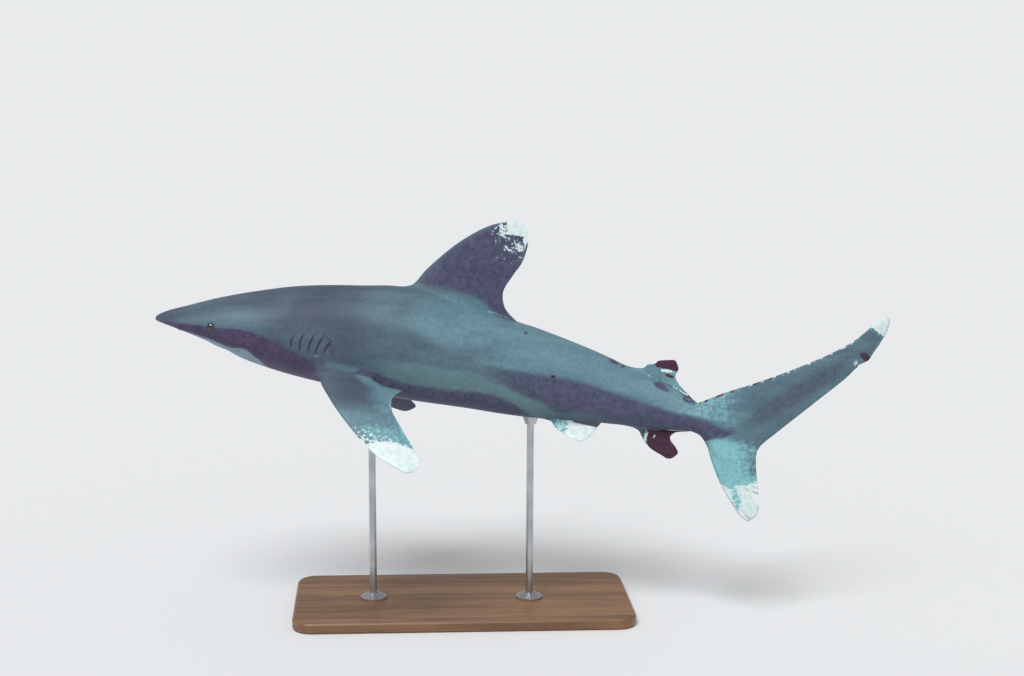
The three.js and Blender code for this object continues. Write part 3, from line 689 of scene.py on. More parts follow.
def add_fin(skin, name, base, points, cells):
    """Stitches a fin's rows to the loop of body vertices named base, and closes its tip."""
    region = REGIONS.index(name)
    rows = np.concatenate([base[None], skin.add(points[1:], region)])
    after = np.roll(rows, -1, 1)
    skin.quads(rows[:-1], after[:-1], after[1:], rows[1:])
    skin.bases.append(base)
    tip, ring = rows[-1], points[-1]
    one, rear = slice(0, cells + 1), slice(cells + 1, cells + ACROSS)
    other, nose = slice(cells + ACROSS, 2 * cells + ACROSS + 1), slice(2 * cells + ACROSS + 1, None)
    faces = np.zeros((cells + 1, ACROSS + 1), int)
    faces[:, 0] = tip[one]
    faces[-1, 1:-1] = tip[rear]
    faces[:, -1] = tip[other][::-1]
    faces[0, 1:-1] = tip[nose][::-1]
    over = np.linspace(0, 1, ACROSS + 1)[None, 1:-1, None]
    inside = ring[one][1:-1, None] * (1 - over) + ring[other][::-1][1:-1, None] * over
    faces[1:-1, 1:-1] = skin.add(inside, region)
    skin.quads(faces[:-1, :-1], faces[1:, :-1], faces[1:, 1:], faces[:-1, 1:])


def tail_columns():
    """Shares of the rear margin for the grid's lines, crowded at the lobes' tips and at the cuts."""
    fine = np.linspace(0, 1, 2001)
    density = 1 / (TAIL_CROWDING["even"] + np.sin(np.pi * fine))
    reach = TAIL_CROWDING["reach"]
    for _, *rows in TAIL_CUTS:
        first, last = rows[0][0], rows[-1][0]
        beside = (fine > first - reach) & (fine < last + reach)
        density += TAIL_CROWDING["cut"] / (last - first) * beside
    total = np.concatenate([[0], np.cumsum((density[1:] + density[:-1]) / 2)])
    return np.interp(np.linspace(0, total[-1], COLUMNS // 2 + 1), total, fine)


def rear_margin_cuts(q, out, margin):
    """How far the cuts move each of the grid's points."""
    moved = 0
    for start, *rows in TAIL_CUTS:
        at, s, z = np.transpose(rows)
        inside = (q >= at[0]) & (q <= at[-1])
        to = np.stack([np.interp(q, at, s), np.interp(q, at, z)], -1)
        moved = moved + np.where(inside[..., None], to - margin, 0) * ease(out, start, 1)
    return moved


def to_segment(points, start, end):
    """Each point's distance to a straight segment, and its share of the way along it."""
    start, along = np.asarray(start), np.asarray(end) - start
    share = ((points - start) @ along) / (along @ along)
    gap = points - start - np.clip(share, 0, 1)[..., None] * along
    return np.linalg.norm(gap, axis=-1), share


def to_line(points, line):
    """Each point's distance to a line through many points."""
    return np.min([to_segment(points, *ends)[0] for ends in zip(line, line[1:])], 0)


def tail_sheet(stock, q, out):
    """The tail fin's middle surface, from the stock's outline to the smooth rear margin."""
    upper, lower = through(TAIL_UPPER, out[..., 0]), through(TAIL_LOWER, out[..., 0])
    rear = through(TAIL_REAR, q[..., 0])
    sheet = (1 - out) * stock + out * rear + (1 - q) * upper + q * lower
    sheet -= (1 - out) * ((1 - q) * stock[0] + q * stock[-1])
    return sheet - out * ((1 - q) * rear[:, 0] + q * rear[:, -1])


def add_tail(skin, ring, ring_points):
    """The tail fin: a grid stretched between the tail stock's end ring and the rear margin."""
    half = COLUMNS // 2
    stock = ring_points[: half + 1][:, [0, 2]]
    flesh = np.abs(ring_points[: half + 1, 1])
    q = tail_columns()[None, :, None]
    out = np.linspace(0, 1, TAIL_ROWS + 1)[:, None, None]
    sheet = tail_sheet(stock, q, out)
    steps = np.linspace(0, 1, 60)
    from_upper = np.maximum(to_line(sheet, through(TAIL_UPPER, steps)), 1e-9)
    from_lower = np.maximum(to_line(sheet, through(TAIL_LOWER, steps)), 1e-9)
    # The smaller of the two, rounded where they are alike.
    from_lead = (from_upper**-4.0 + from_lower**-4.0 + 1e-9) ** -0.25
    chord = from_lead + to_line(sheet, sheet[-1])
    share = from_lead / np.maximum(chord, 1e-6)
    plate = TAIL_PLATE["thickness"] * chord * wing_section(share)
    behind = ease(sheet[..., 0], STOCK_END, STOCK_END + TAIL_PLATE["fleshy"])
    edge = np.clip(from_lead / TAIL_PLATE["edge_reach"], 0, 1)
    edge = edge * np.clip(out[..., 0] / TAIL_PLATE["root_reach"], 0, 1) * FIN_EDGE
    thick = np.hypot(flesh * (1 - behind), plate * np.sqrt(behind)) + edge
    thick[:, [0, -1]] = 0
    sheet = sheet + rear_margin_cuts(q[..., 0], out, sheet[-1])
    left = np.stack([sheet[..., 0], thick, sheet[..., 1]], -1)
    right = left * np.array([1, -1, 1])
    around = np.concatenate([left, right[:, 1:-1][:, ::-1]], 1)
    faces = np.concatenate([ring[None], skin.add(around[1:], TAIL_REGION)])
    after = np.roll(faces, -1, 1)
    skin.quads(faces[:-1], faces[1:], after[1:], after[:-1])
    last = faces[-1]
    mirror = np.roll(last[::-1], 1)
    k = np.arange(1, half)
    skin.quads(last[k[:-1]], mirror[k[:-1]], mirror[k[1:]], last[k[1:]])
    upper_end = [last[0], mirror[1], last[1]]
    lower_end = [last[half - 1], mirror[half - 1], last[half]]
    skin.faces.append(np.array([upper_end, lower_end]))


# ---- Rounding and refining the mesh ----


def mesh_edges(faces, size):
    """Every edge once, and the number of the edge after each face's corner."""
    ends = np.stack([faces, np.roll(faces, -1, 1)], -1)
    low, high = ends.min(-1), ends.max(-1)
    keys, number = np.unique(low.ravel() * size + high.ravel(), return_inverse=True)
    return np.stack([keys // size, keys % size], -1), number.reshape(-1, 3)


def nearest(points, targets):
    """Each point's distance to the nearest target."""
    tree = KDTree(len(targets))
    for k, target in enumerate(targets):
        tree.insert(target, k)
    tree.balance()
    return np.array([tree.find(point)[2] for point in points])


def round_bases(skin):
    """Rounds the skin where the fins grow out of it, and returns how near each point is to a base."""
    weight = np.exp(-((nearest(skin.points, skin.points[skin.bases]) / FILLET["reach"]) ** 2))
    weight[weight < BASE_NEAR] = 0
    edges = mesh_edges(skin.faces, len(skin.points))[0]
    edges = edges[(weight[edges] > 0).any(1)]
    ends = np.concatenate([edges[:, 0], edges[:, 1]])
    others = np.concatenate([edges[:, 1], edges[:, 0]])
    number = np.maximum(np.bincount(ends, minlength=len(skin.points)), 1)[:, None]
    for _ in range(FILLET["rounds"]):
        middle = gathered(ends, skin.points[others], len(skin.points)) / number
        skin.points = skin.points + weight[:, None] * (middle - skin.points)
    return weight


def split_long(skin, near_base):
    """Halves each edge that is longer than the detail there needs, and cuts the faces to match.
    Returns near_base with the new points in it."""
    size = len(skin.points)
    edges, number = mesh_edges(skin.faces, size)
    middle = skin.points[edges].mean(1)
    length = np.linalg.norm(skin.points[edges[:, 0]] - skin.points[edges[:, 1]], axis=-1)
    long = length > detail_size(middle)
    new = np.full(len(edges), -1)
    new[long] = size + np.arange(long.sum())
    middle, ends = middle[long], edges[long]
    near = near_base[ends].max(1)
    on_body = (skin.region[ends] == BODY_REGION).all(1) & (near < BASE_NEAR)
    middle[on_body] = body_point(middle[on_body, 0], body_angle(middle[on_body]))
    skin.points = np.concatenate([skin.points, middle])
    skin.region = np.concatenate([skin.region, skin.region[ends[:, 0]]])
    marks = new[number]
    count = (marks >= 0).sum(1)
    turn = np.where(count == 1, np.argmax(marks >= 0, 1), 0)
    turn = np.where(count == 2, (np.argmin(marks >= 0, 1) + 1) % 3, turn)
    order = (turn[:, None] + np.arange(3)) % 3
    a, b, c = np.take_along_axis(skin.faces, order, 1).T
    ab, bc, ca = np.take_along_axis(marks, order, 1).T
    cuts = {
        0: [(a, b, c)],
        1: [(a, ab, c), (ab, b, c)],
        2: [(a, ab, c), (ab, bc, c), (ab, b, bc)],
        3: [(a, ab, ca), (ab, b, bc), (ca, bc, c), (ab, bc, ca)],
    }
    skin.faces = np.concatenate(
        [np.stack(face, -1)[count == k] for k, faces in cuts.items() for face in faces]
    )
    return np.concatenate([near_base, near])


def mirrored(points):
    """The points on the shark's right side, so that one description serves both sides."""
    return points * np.array([1, 0, 1]) + np.abs(points) * np.array([0, 1, 0])


def gill_lines(points):
    """For each gill slit, how far behind it each point lies and the share of its height."""
    for low_s, low_z, high_s, high_z in GILLS:
        share = (points[:, 2] - low_z) / (high_z - low_z)
        bow = GILL_FOLD["bow"] * np.sin(np.pi * np.clip(share, 0, 1))
        yield points[:, 0] - (low_s + (high_s - low_s) * share - bow), share


def mouth_line(points):
    """How far behind the mouth's arch each point lies, and 1 below within its width, 0 elsewhere."""
    arch = (MOUTH["corner"] - MOUTH["front"]) / MOUTH["half_width"] ** 2
    r = np.abs(points[:, 1])
    behind = (points[:, 0] - MOUTH["front"] - arch * r**2) / np.sqrt(1 + (2 * arch * r) ** 2)
    below = (points[:, 2] < section(points[:, 0])[3]) & (points[:, 0] < MOUTH["end"])
    return behind, below * (1 - ease(r - MOUTH["half_width"], *MOUTH["fade"]))


def eye_frame():
    """The middle of the right eye on the skin, and its backward, upward and outward directions."""
    step = 0.02
    centre = eye_at(0, 0)
    along = eye_at(step, 0) - eye_at(-step, 0)
    along /= np.linalg.norm(along)
    up = eye_at(0, -step) - eye_at(0, step)
    out = np.cross(up, along)
    out /= np.linalg.norm(out)
    return centre, along, np.cross(along, out), out


def eye_at(ds, dphi):
    """A point of the skin a little away from the eye's middle."""
    return body_point(np.array(EYE["s"] + ds), np.array(math.radians(EYE["phi"]) + dphi))


def eye_distance(points):
    """Distance from the eye's middle, over the skin, with the opening's height stretched to round,
    and the height above the middle."""
    centre, along, up, out = eye_frame()
    away = mirrored(points) - centre
    height = away @ up
    gap = np.hypot(away @ along, height / EYE["flatness"])
    return np.where(np.abs(away @ out) < EYE["deep"], gap, 11 * FAR), height


def on_skin(places):
    """Points of the body's surface at pairs of a place and an angle in degrees."""
    return [body_point(np.array(s), np.array(math.radians(phi))) for s, phi in places]


def detail_size(points):
    """The longest edge that the skin's details allow at each point."""
    fold, growth = DETAIL["beside_fold"], DETAIL["growth"]
    to_gills = np.full(len(points), FAR)
    for line, share in gill_lines(points):
        beyond = GILL_HEIGHT * np.maximum(np.abs(share - 0.5) - 0.6, 0)
        beside = np.maximum(np.abs(line) - DETAIL["beside_gill"], 0)
        to_gills = np.minimum(to_gills, np.hypot(beside, beyond))
    to_gills[np.abs(points[:, 1]) < GILL_SIDE] = FAR
    gap, below = mouth_line(points)
    to_mouth = np.where(below > 0, np.maximum(np.abs(gap) - fold, 0), FAR)
    to_nostril = np.maximum(to_segment(mirrored(points), *on_skin(NOSTRIL["ends"]))[0] - fold, 0)
    to_eye = np.maximum(eye_distance(points)[0] - DETAIL["beside_eye"], 0)
    at_folds = DETAIL["fold"] + growth * least(to_gills, to_mouth, to_nostril)
    return np.minimum(at_folds, DETAIL["eye"] + growth * to_eye)


# ---- Folds and hollows of the skin ----


def gill_relief(points):
    """Each slit's flap, which rises toward the slit from ahead, the groove under its edge, and painted
    shade in the groove.
    """
    height, crease_shade = np.zeros(len(points)), np.zeros(len(points))
    for line, share in gill_lines(points):
        ends = span(share, -0.02, 0.22, 0.78, 1.02)
        flap = GILL_FOLD["flap"] * span(line, -0.85, -0.05, -0.04, 0.05)
        groove = GILL_FOLD["depth"] * span(line, -0.05, 0.08, 0.1, 0.5)
        height += ends * (flap - groove)
        crease_shade = np.maximum(crease_shade, ends * (0.7 * bump(line, 0.06, 0.07) + 0.3 * bump(line, 0.1, 0.25)))
    side = np.abs(points[:, 1]) > GILL_SIDE
    return height * side, crease_shade * side


def mouth_relief(points):
    """The closed mouth: the lips, the groove between them, and the lower jaw set in a little, with painted
    shade in the groove and the furrow.
    """
    gap, below = mouth_line(points)
    lips = MOUTH["lip"] * (bump(gap, -0.2, 0.14) + 0.7 * bump(gap, 0.22, 0.14))
    groove = MOUTH["depth"] * bump(gap, 0.01, 0.07)
    recess = MOUTH["recess"] * span(gap, 0, 0.12, 0.5, 3.2)
    fold = to_segment(mirrored(points), *on_skin(MOUTH["furrow"]))[0]
    furrow = 0.1 * bump(fold, 0, 0.07)
    crease_shade = bump(gap, 0.01, 0.07) * below + bump(fold, 0, 0.08)
    return (lips - groove - recess) * below - furrow, crease_shade


def nostril_relief(points):
    """The nostril's slit and the flap in front of it, with painted shade in the slit."""
    gap, share = to_segment(mirrored(points), *on_skin(NOSTRIL["ends"]))
    slit = bump(gap, 0, 0.11)
    flap = NOSTRIL["flap"] * bump(gap, 0.24, 0.13) * bump(share, 0.45, 0.35)
    return flap - NOSTRIL["depth"] * slit, slit


def eye_relief(points):
    """The socket that the eye sits in, with the lids round it, and painted shade in the gap round the
    eyeball.
    """
    gap, height = eye_distance(points)
    beyond = (gap - EYE["radius"]) / MILLIMETRE
    upper = ease(height, -0.1, 0.25)
    rise = -EYE["socket"] * ease(beyond, -0.6, -1.7)
    for all_round, above, below, out, width in EYE_FOLDS:
        rise += (all_round + above * upper + below * (1 - upper)) * bump(beyond, out, width)
    return rise * MILLIMETRE, bump(beyond, -1.2, 0.7)


def body_relief(points):
    """The ridge between the dorsal fins, the pits at the tail's root and the keels beside it."""
    s, r, z = points.T
    ridge = RIDGE["height"] * bump(r, 0, RIDGE["width"]) * span(s, *RIDGE["along"]) * (z > 0)
    keel = KEEL["height"] * bump(z, KEEL["z"], KEEL["width"]) * span(s, *KEEL["along"])
    pits = 0
    for (depth, width), here in ((TAIL_PITS["upper"], z > 0), (TAIL_PITS["lower"], z < -1)):
        pits = pits + depth * bump(r, 0, width) * here
    return ridge + keel - pits * bump(s, TAIL_PITS["s"], TAIL_PITS["length"])


def sculpt(skin):
    """Raises and sinks the skin along its normals, and returns the painted shade in its creases and
    hollows.
    """
    points = skin.points
    on_body = skin.region == BODY_REGION
    height, crease_shade = body_relief(points), np.zeros(len(points))
    for relief in (gill_relief, mouth_relief, nostril_relief, eye_relief):
        rise, dark = relief(points)
        height = height + rise * on_body
        crease_shade = np.maximum(crease_shade, dark * on_body)
    stock = (skin.region == TAIL_REGION) & (points[:, 0] < RELIEF_END)
    height = np.where(on_body | stock, height, 0)
    skin.points = points + skin.normals() * height[:, None]
    return crease_shade


# ---- Markings ----
# Each marking is a field over the skin, and some of them are painted light and shade. Dusk and shade,
# teal, moss, light and crease shade run from 0 to 1: the dusk is mostly painted shade of the lower sides
# and undersides with some real dusky marks, the teal above the flank's band is partly painted light of
# the upper side, the light holds painted glints, and the crease shade is painted shade in the folds.
# Pale, white and black are above 0 inside the marking, and the finish breaks up their edges near 0.

# The top of the dusk on the head's lower side and the flank, mostly painted shade where the light from
# above falls off: place, level and half width of the change of colour there.
DUSK_TOP = [
    [0, 0.05, 0.12], [1.5, 0.22, 0.15], [3.4, 0.35, 0.2], [7, 0.4, 0.22], [12.8, 0.49, 0.3],
    [15.1, -0.07, 0.42], [17.5, -0.95, 0.5], [20.6, -2.2, 0.5], [22.5, -3.7, 0.4],
    [25.4, -3.6, 0.4], [27, -2, 0.35], [28.2, -1.95, 0.47], [29.7, -2.4, 0.54],
    [32.2, -2.85, 0.61], [37, -3, 0.68], [46.4, -3.2, 0.54], [48.2, -3.9, 0.54], [51, -5.6, 0.68],
    [60, -8, 0.68],
]
# The band along the flank, partly painted shade under the lit upper side: place, level and half width of
# its top edge, and below, of its bottom edge.
FLANK_TOP = [
    [36, 0.5, 1.76], [40, 0.75, 1.22], [44.1, 0.75, 0.68], [48.8, 0.65, 0.47], [52.1, 0.7, 0.34],
    [56.8, 0.46, 0.27], [61.6, -0.32, 0.27], [66.2, -0.95, 0.27], [69.1, -1.33, 0.27],
    [71, -1.42, 0.27],
]
FLANK_LOW = [
    [36, 0.4, 1.22], [40.8, -0.22, 0.81], [42.8, -0.69, 0.68], [46.1, -1.47, 0.61],
    [49.5, -2.44, 0.61], [51.2, -2.95, 0.61], [52.6, -3.7, 0.81], [54, -5.2, 1.08], [60, -9, 1.35],
]
BELLY_TOP = [
    [0, -0.12], [1.5, -0.16], [3.4, -0.55], [6.1, -1.1], [7.5, -1.34], [9.6, -1.95], [12.4, -2.1],
    [13.7, -3.2], [14.8, -4.1], [17, -5.05], [25, -5.5], [30, -5.65], [50, -5.6], [57, -4.95],
    [63, -4.5], [71, -3.6],
]
# Half width of the pale strip along the keel.
KEEL_STRIP = [[11, 2.2], [20, 2], [45, 1.8], [55, 1.3], [60, -0.5]]
# The dusky stripe that runs on to the tail's root, the flank's band of painted shade going on, partly
# real dusk: place, its top and its bottom.
TAIL_STRIPE = [
    [71, -1.42, -5], [72.6, -1.72, -4.25], [73.5, -1.87, -3.75], [75.3, -2.15, -3.1],
    [76.7, -2.42, -2.6], [78, -2.8, -2.8],
]
# The upper lobe's dusky band, partly painted shade where the flank's band fades out: place, middle and
# half width.
TAIL_BAND = [
    [75.5, -2.2, 0.7], [78.2, -0.5, 1.2], [81.4, 1.9, 1.7], [84.2, 4, 1.7], [87.1, 6.1, 1.4],
    [90, 8.4, 0.8], [91.6, 9.6, 0.4],
]
# The lower edge of the first dorsal's dusk: place, level.
DORSAL_DUSK = [[31.5, 9.3], [33.7, 9], [36.8, 9.05], [40.4, 8.5], [42.4, 7.25], [44.4, 6.45], [46, 5.8]]
TAIL_WHITE_LINE = [[75.9, -9.5], [77, -9.8], [77.5, -9.25], [79.1, -9.15], [79.9, -8.8], [82, -8.6]]
PECTORAL_WHITE_LINE = [
    [6.2, 11.1], [7, 10.6], [7.4, 11.2], [7.8, 11.6], [9.2, 10.9], [11.1, 10.8], [13.1, 11.5],
    [15, 12],
]


def oval(x, y, centre, size, slope=0.0):
    """1 in the middle of an oval, 0 on its edge and less outside; slope tilts its long axis."""
    along = x - centre[0]
    across = y - centre[1] - slope * along
    return 1 - np.hypot(along / size[0], across / size[1])


def left_of(x, y, start, end, softness):
    """How far points lie to the left of the way from start to end, in units of the softness."""
    dx, dy = end[0] - start[0], end[1] - start[1]
    return ((y - start[1]) * dx - (x - start[0]) * dy) / math.hypot(dx, dy) / softness


def root_light(s):
    """The bright patch on the tail's root."""
    return 0.45 * span(s, 66, 72, 74, 78.5)


def body_marks(s, z):
    """The body's markings, with painted light and shade, by place and level, the same on both flanks."""
    low, low_soft = columns(DUSK_TOP, s)
    top, top_soft = columns(FLANK_TOP, s)
    under, under_soft = columns(FLANK_LOW, s)
    # The cheek and flank bands are painted shade of the lower head and the lower flank, partly real dusk,
    # and the patch behind the gills is painted shade of the throat.
    cheek = ease(z, low + low_soft, low - low_soft)
    flank = span(z, under - under_soft, under + under_soft, top - top_soft, top + top_soft)
    behind_gills = ease(oval(s, z, (22.8, 0.1), (1.4, 1.2), -1), 0, 0.7)
    dusk_and_shade = most(cheek, 0.85 * flank * ease(s, 37.5, 49), 0.6 * behind_gills)
    over_pelvics = ease(oval(s, z, (57, -4.3), (6.5, 1.2), 0.08), 0, 0.6)
    dusk_and_shade = dusk_and_shade * (1 - 0.4 * over_pelvics) * (1 - 0.15 * ease(z, -2.5, -3.5) * ease(s, 26, 30))
    level = stepped(s, DORSAL_DUSK)
    saddle = ease(z, level - 0.5, level + 0.9) * span(s, 30.5, 33.5, 44.5, 46.5)
    # Dark spots on the back, partly real marks and partly painted shade under the dorsal fins' free rear
    # tips.
    spots_and_shade = most(
        oval(s, z, (47.6, 5.5), (0.35, 0.3)) - 0.2,
        0.6 * oval(s, z, (59.6, 3.55), (0.8, 0.25), -0.25),
        0.6 * oval(s, z, (60.9, 3.2), (0.35, 0.2)),
        oval(s, z, (66.3, 1.62), (1.15, 0.34), -0.3),
        oval(s, z, (70, 0.6), (1, 0.36), -0.35),
    )
    # A painted highlight along the top of the pectoral's base; the teal above the flank's band is partly
    # painted light of the upper side.
    pectoral_base_highlight = to_segment(np.stack([s, z], -1), (22.9, -2.08), (26.6, -2.28))[0]
    teal = most(
        0.95 * ease(z, top - 0.5, top + 0.8) * ease(s, 35, 47),
        0.95 * ease(oval(s, z, (39, 5.5), (11, 5)), -0.1, 0.7),
        0.4 * ease(oval(s, z, (9, 1.5), (8, 2.4)), -0.3, 0.7),
        0.6 * oval(s, z, (57, -3.6), (4, 0.8)),
        0.4 * ease(s, 23, 29),
        0.5 * bump(pectoral_base_highlight, 0, 0.6),
    )
    glint = oval(s, z, (21.1, -1.35), (0.5, 0.2), 0.5) - 0.15
    halo = 0.4 * oval(s, z, (21.2, -1.3), (1.3, 0.4), 0.4)
    return {
        "dusk_and_shade": most(dusk_and_shade, 0.95 * saddle, ease(spots_and_shade, -0.15, 0.35)),
        "teal": teal,
        "moss": 0.8 * ease(z, 0.8, -0.9) * span(s, 25, 33, 50, 60),
        "light": most(root_light(s) * ease(z, top, top + 0.5), glint, halo),
        "pale": (columns(BELLY_TOP, s)[0] - z) / stepped(s, [[0, 0.6], [4, 0.3]]),
        "black": oval(s, z, (52.2, 0.85), (0.34, 0.24)),
    }


def first_dorsal_marks(s, z):
    made = body_marks(s, z)
    behind_front = s - place_at(FIRST_DORSAL["leading"], z)
    made["dusk_and_shade"] = made["dusk_and_shade"] * (1 - 0.5 * ease(behind_front, 1.3, 0.1))
    cap = np.minimum((z - 17.45) / 0.3, (s - 42.7) / 0.4)
    front = 0.25 * oval(s, z, (42.3, 18), (0.8, 0.8)) - 0.08
    strip = np.minimum(oval(s, z, (45.45, 17.1), (0.35, 0.6)), 0.3)
    patch = 0.25 * oval(s, z, (44.5, 16), (1.1, 0.75)) - 0.13
    haze = 0.3 * oval(s, z, (43.6, 15.6), (2.6, 1.8)) - 0.3
    # A white line along the inner margin: the fin's pale edge with its highlight painted in.
    margin = (oval(s, z, (44.1, 6.83), (2.2, 0.09), -0.155) - 0.1) * 0.4
    made["white"] = most(cap, front, strip, patch, haze, margin)
    made["black"] = oval(s, z, (45.85, 15.3), (0.25, 1.3))
    return made


def second_dorsal_marks(s, z):
    cap = np.minimum(left_of(s, z, (64.4, 3.9), (67.9, 3.8), 0.35), (s - 64.8) / 0.3)
    dash = oval(s, z, (66.9, 3.05), (0.65, 0.2), -0.1)
    corner = 0.6 * oval(s, z, (69.7, 0.9), (0.8, 0.3), -0.45)
    patch = oval(s, z, (66.4, 3.62), (0.85, 0.22), 0.12)
    streak = 0.8 * oval(s, z, (64.1, 4.25), (0.9, 0.22), 0.25)
    margin = 0.4 * oval(s, z, (68, 1.55), (2.7, 0.12), -0.3) - 0.03
    return {
        "teal": 0.95,
        "light": most(body_marks(s, z)["light"], 0.45 * ease(s, 66, 68)),
        "white": most(patch, streak, margin),
        "black": np.minimum(most(cap, dash, corner), -2 * patch),
    }


def anal_marks(s, z):
    lobe = np.minimum(left_of(s, z, (65.7, -6.3), (65.2, -4.6), -0.35), (-4.35 - z) / 0.25)
    tip = most(oval(s, z, (68.9, -3.9), (2, 0.5)), (s - 66.6) / 0.4)
    edge = 0.5 * oval(s, z, (65.3, -5.3), (0.2, 0.75)) + 0.02
    spot = 0.6 * oval(s, z, (66.3, -5), (0.2, 0.26))
    # The dusk near the fin's base is painted shade, run on from the shaded underside of the tail stock.
    dusk_and_shade = most(0.2, ease(z, -5.2, -4.2))
    return {"dusk_and_shade": dusk_and_shade, "teal": 0.35, "white": most(edge, spot), "black": most(lobe, tip)}


def tail_marks(s, z):
    centre, half = columns(TAIL_BAND, s)
    top, bottom = columns(TAIL_STRIPE, s)
    # The stripe and the band are painted shade going on from the flank's band, partly real dusk.
    stripe = span(z, bottom - 0.2, bottom + 0.2, top - 0.2, top + 0.2) * ease(s, 77.6, 75.5)
    band = ease(np.abs(z - centre), half + 1.1, half - 0.9) * span(s, 75.5, 79.5, 88.5, 91.6)
    dusk_and_shade = most(0.9 * stripe, 0.55 * band)
    lead = place_at(TAIL_LOWER, z)
    across = (s - lead) / (TAIL_LOWER[-1][1] - lead)
    lobe = ease(z, -2.5, -4.2) * (1 - 0.6 * ease(across, 0.4, 1) * ease(z, -9, -7))
    edge = stepped(s, [row[1:] for row in TAIL_UPPER])
    near_edge = (z - edge + 0.2) / 0.2
    tip = left_of(s, z, (92.2, 13.1), (94.3, 12.1), 0.45)
    rear = ease(left_of(s, z, (92.9, 9.2), (94.5, 13.2), -0.5), -0.8, 0)
    root = root_light(s) * ease(z, top, top + 0.5)
    upper_edge = 0.3 * ease(near_edge, -2, 0.6) * ease(s, 80, 84)
    light = most(lobe, root, upper_edge, 0.5 * ease(tip, -2.2, 0), 0.45 * rear) * (1 - dusk_and_shade)
    pointed = np.clip((stepped(s, TAIL_WHITE_LINE) - z) / 0.4, -3, 0.35)
    pointed = pointed - 0.36 * np.clip(2 * oval(s, z, (78.1, -11), (1.3, 2), -1.1), 0, 1)
    flap = 0.5 * oval(s, z, (80.5, -9.5), (0.7, 0.9))
    notch_end = 0.7 * oval(s, z, (91, 8.2), (0.3, 0.4))
    # Uneven dashes along the upper lobe's front edge.
    wave = np.cos(2 * np.pi * (s + 0.4 * np.cos(1.3 * s)) / 1.1)
    white_dash = least(-0.2 * wave - 0.17, near_edge, (s - 77) / 4)
    dark_dash = least(0.3 * wave - 0.05, near_edge, (82 - s) / 6)
    notch = most(oval(s, z, (92.1, 9.3), (1, 0.45), -0.2), oval(s, z, (92.5, 8.9), (0.5, 0.4)))
    made = {"dusk_and_shade": dusk_and_shade, "teal": 0.55 + 0.35 * ease(s, 80, 73) * (1 - dusk_and_shade), "light": light}
    body, share = body_marks(s, z), ease(s, 75, 71.3)
    for field, values in made.items():
        made[field] = values + share * (body[field] - values)
    made["white"] = most(tip, pointed, flap, notch_end, white_dash)
    made["black"] = most(notch, dark_dash)
    return made


def paired_marks(skin, fin):
    """Places on a paired fin's own outline, the share of its chord, and above 0 on its underside."""
    points, normals = skin.points, skin.normals()
    droop, rise = math.radians(fin["droop"]), math.tan(math.radians(fin["rise"]))
    a = points[:, 0] - fin["base"][0]
    out = np.abs(points[:, 1]) - fin["base"][1]
    up = points[:, 2] - fin["base"][2] - a * rise
    b = out * math.cos(droop) - up * math.sin(droop)
    facing = normals[:, 1] * np.sign(points[:, 1]) * math.sin(droop) + normals[:, 2] * math.cos(droop)
    front, back = place_at(fin["leading"], b), place_at(fin["rear"], b)
    return a, b, (a - front) / np.maximum(back - front, 0.5), -facing / 0.3


def pectoral_marks(skin):
    a, b, share, under = paired_marks(skin, PECTORAL)
    line = stepped(a, PECTORAL_WHITE_LINE)
    specks = 0.1 * (b - 8.9) - 0.24 - 0.25 * ease(share, 0.55, 0.8)
    white = most(np.clip((b - line) / 0.5, -3, 1), np.minimum(specks, -0.02))
    margin = 0.8 * ease(share, 0.93, 0.99) * ease(b, 2, 4)
    rear = ease(share, 0.4, 0.95) * ease(b, 0, 2.5)
    light = most(0.55 * ease(b, 7, 9.6) * ease(share, 0, 0.25), margin, 0.25 * rear * ease(b, 2.5, 6))
    inner = stepped(a, [row[1:] for row in PECTORAL["inner"]])
    shine = 0.9 * bump(b - inner, 0.8, 1.1) * ease(a, 2.5, 4.5)
    over = ease(under, 1, -1)
    return {
        # The underside is painted dusky, mostly painted shade with some real dusky mottling.
        "dusk_and_shade": most(0.2 * ease(b, 6, 0), 0.95 - 0.95 * over),
        "teal": most(0.9 * ease(b, 3, 9), 0.9 * rear, shine) * over,
        "light": light * over,
        "white": np.minimum(white, 0.5 - under),
        "pale": least(under, (7 - b) / 1.5, b - 0.6),
    }


def pelvic_marks(skin):
    a, b, _, under = paired_marks(skin, PELVIC)
    line = stepped(b, [[0, 3.2], [1.5, 3.5], [3, 2.9]])
    specks = 0.12 * (a - 2.6) - 0.06
    return {
        # Painted shade at the base and on the underside.
        "dusk_and_shade": most(ease(b, 0.35, -0.15), ease(under, -1, 1)),
        "teal": 0.8 * ease(under, 1, -1),
        "light": 0.75 * ease(a, 0.3, 2.2) * ease(b, -0.1, 0.5) * ease(under, 1, -1),
        "white": least(most((a - line) / 0.5, specks), (b + 0.05) / 0.25, 0.5 - under),
        "black": oval(a, b, (0.2, 0.25), (0.25, 0.2)),
    }


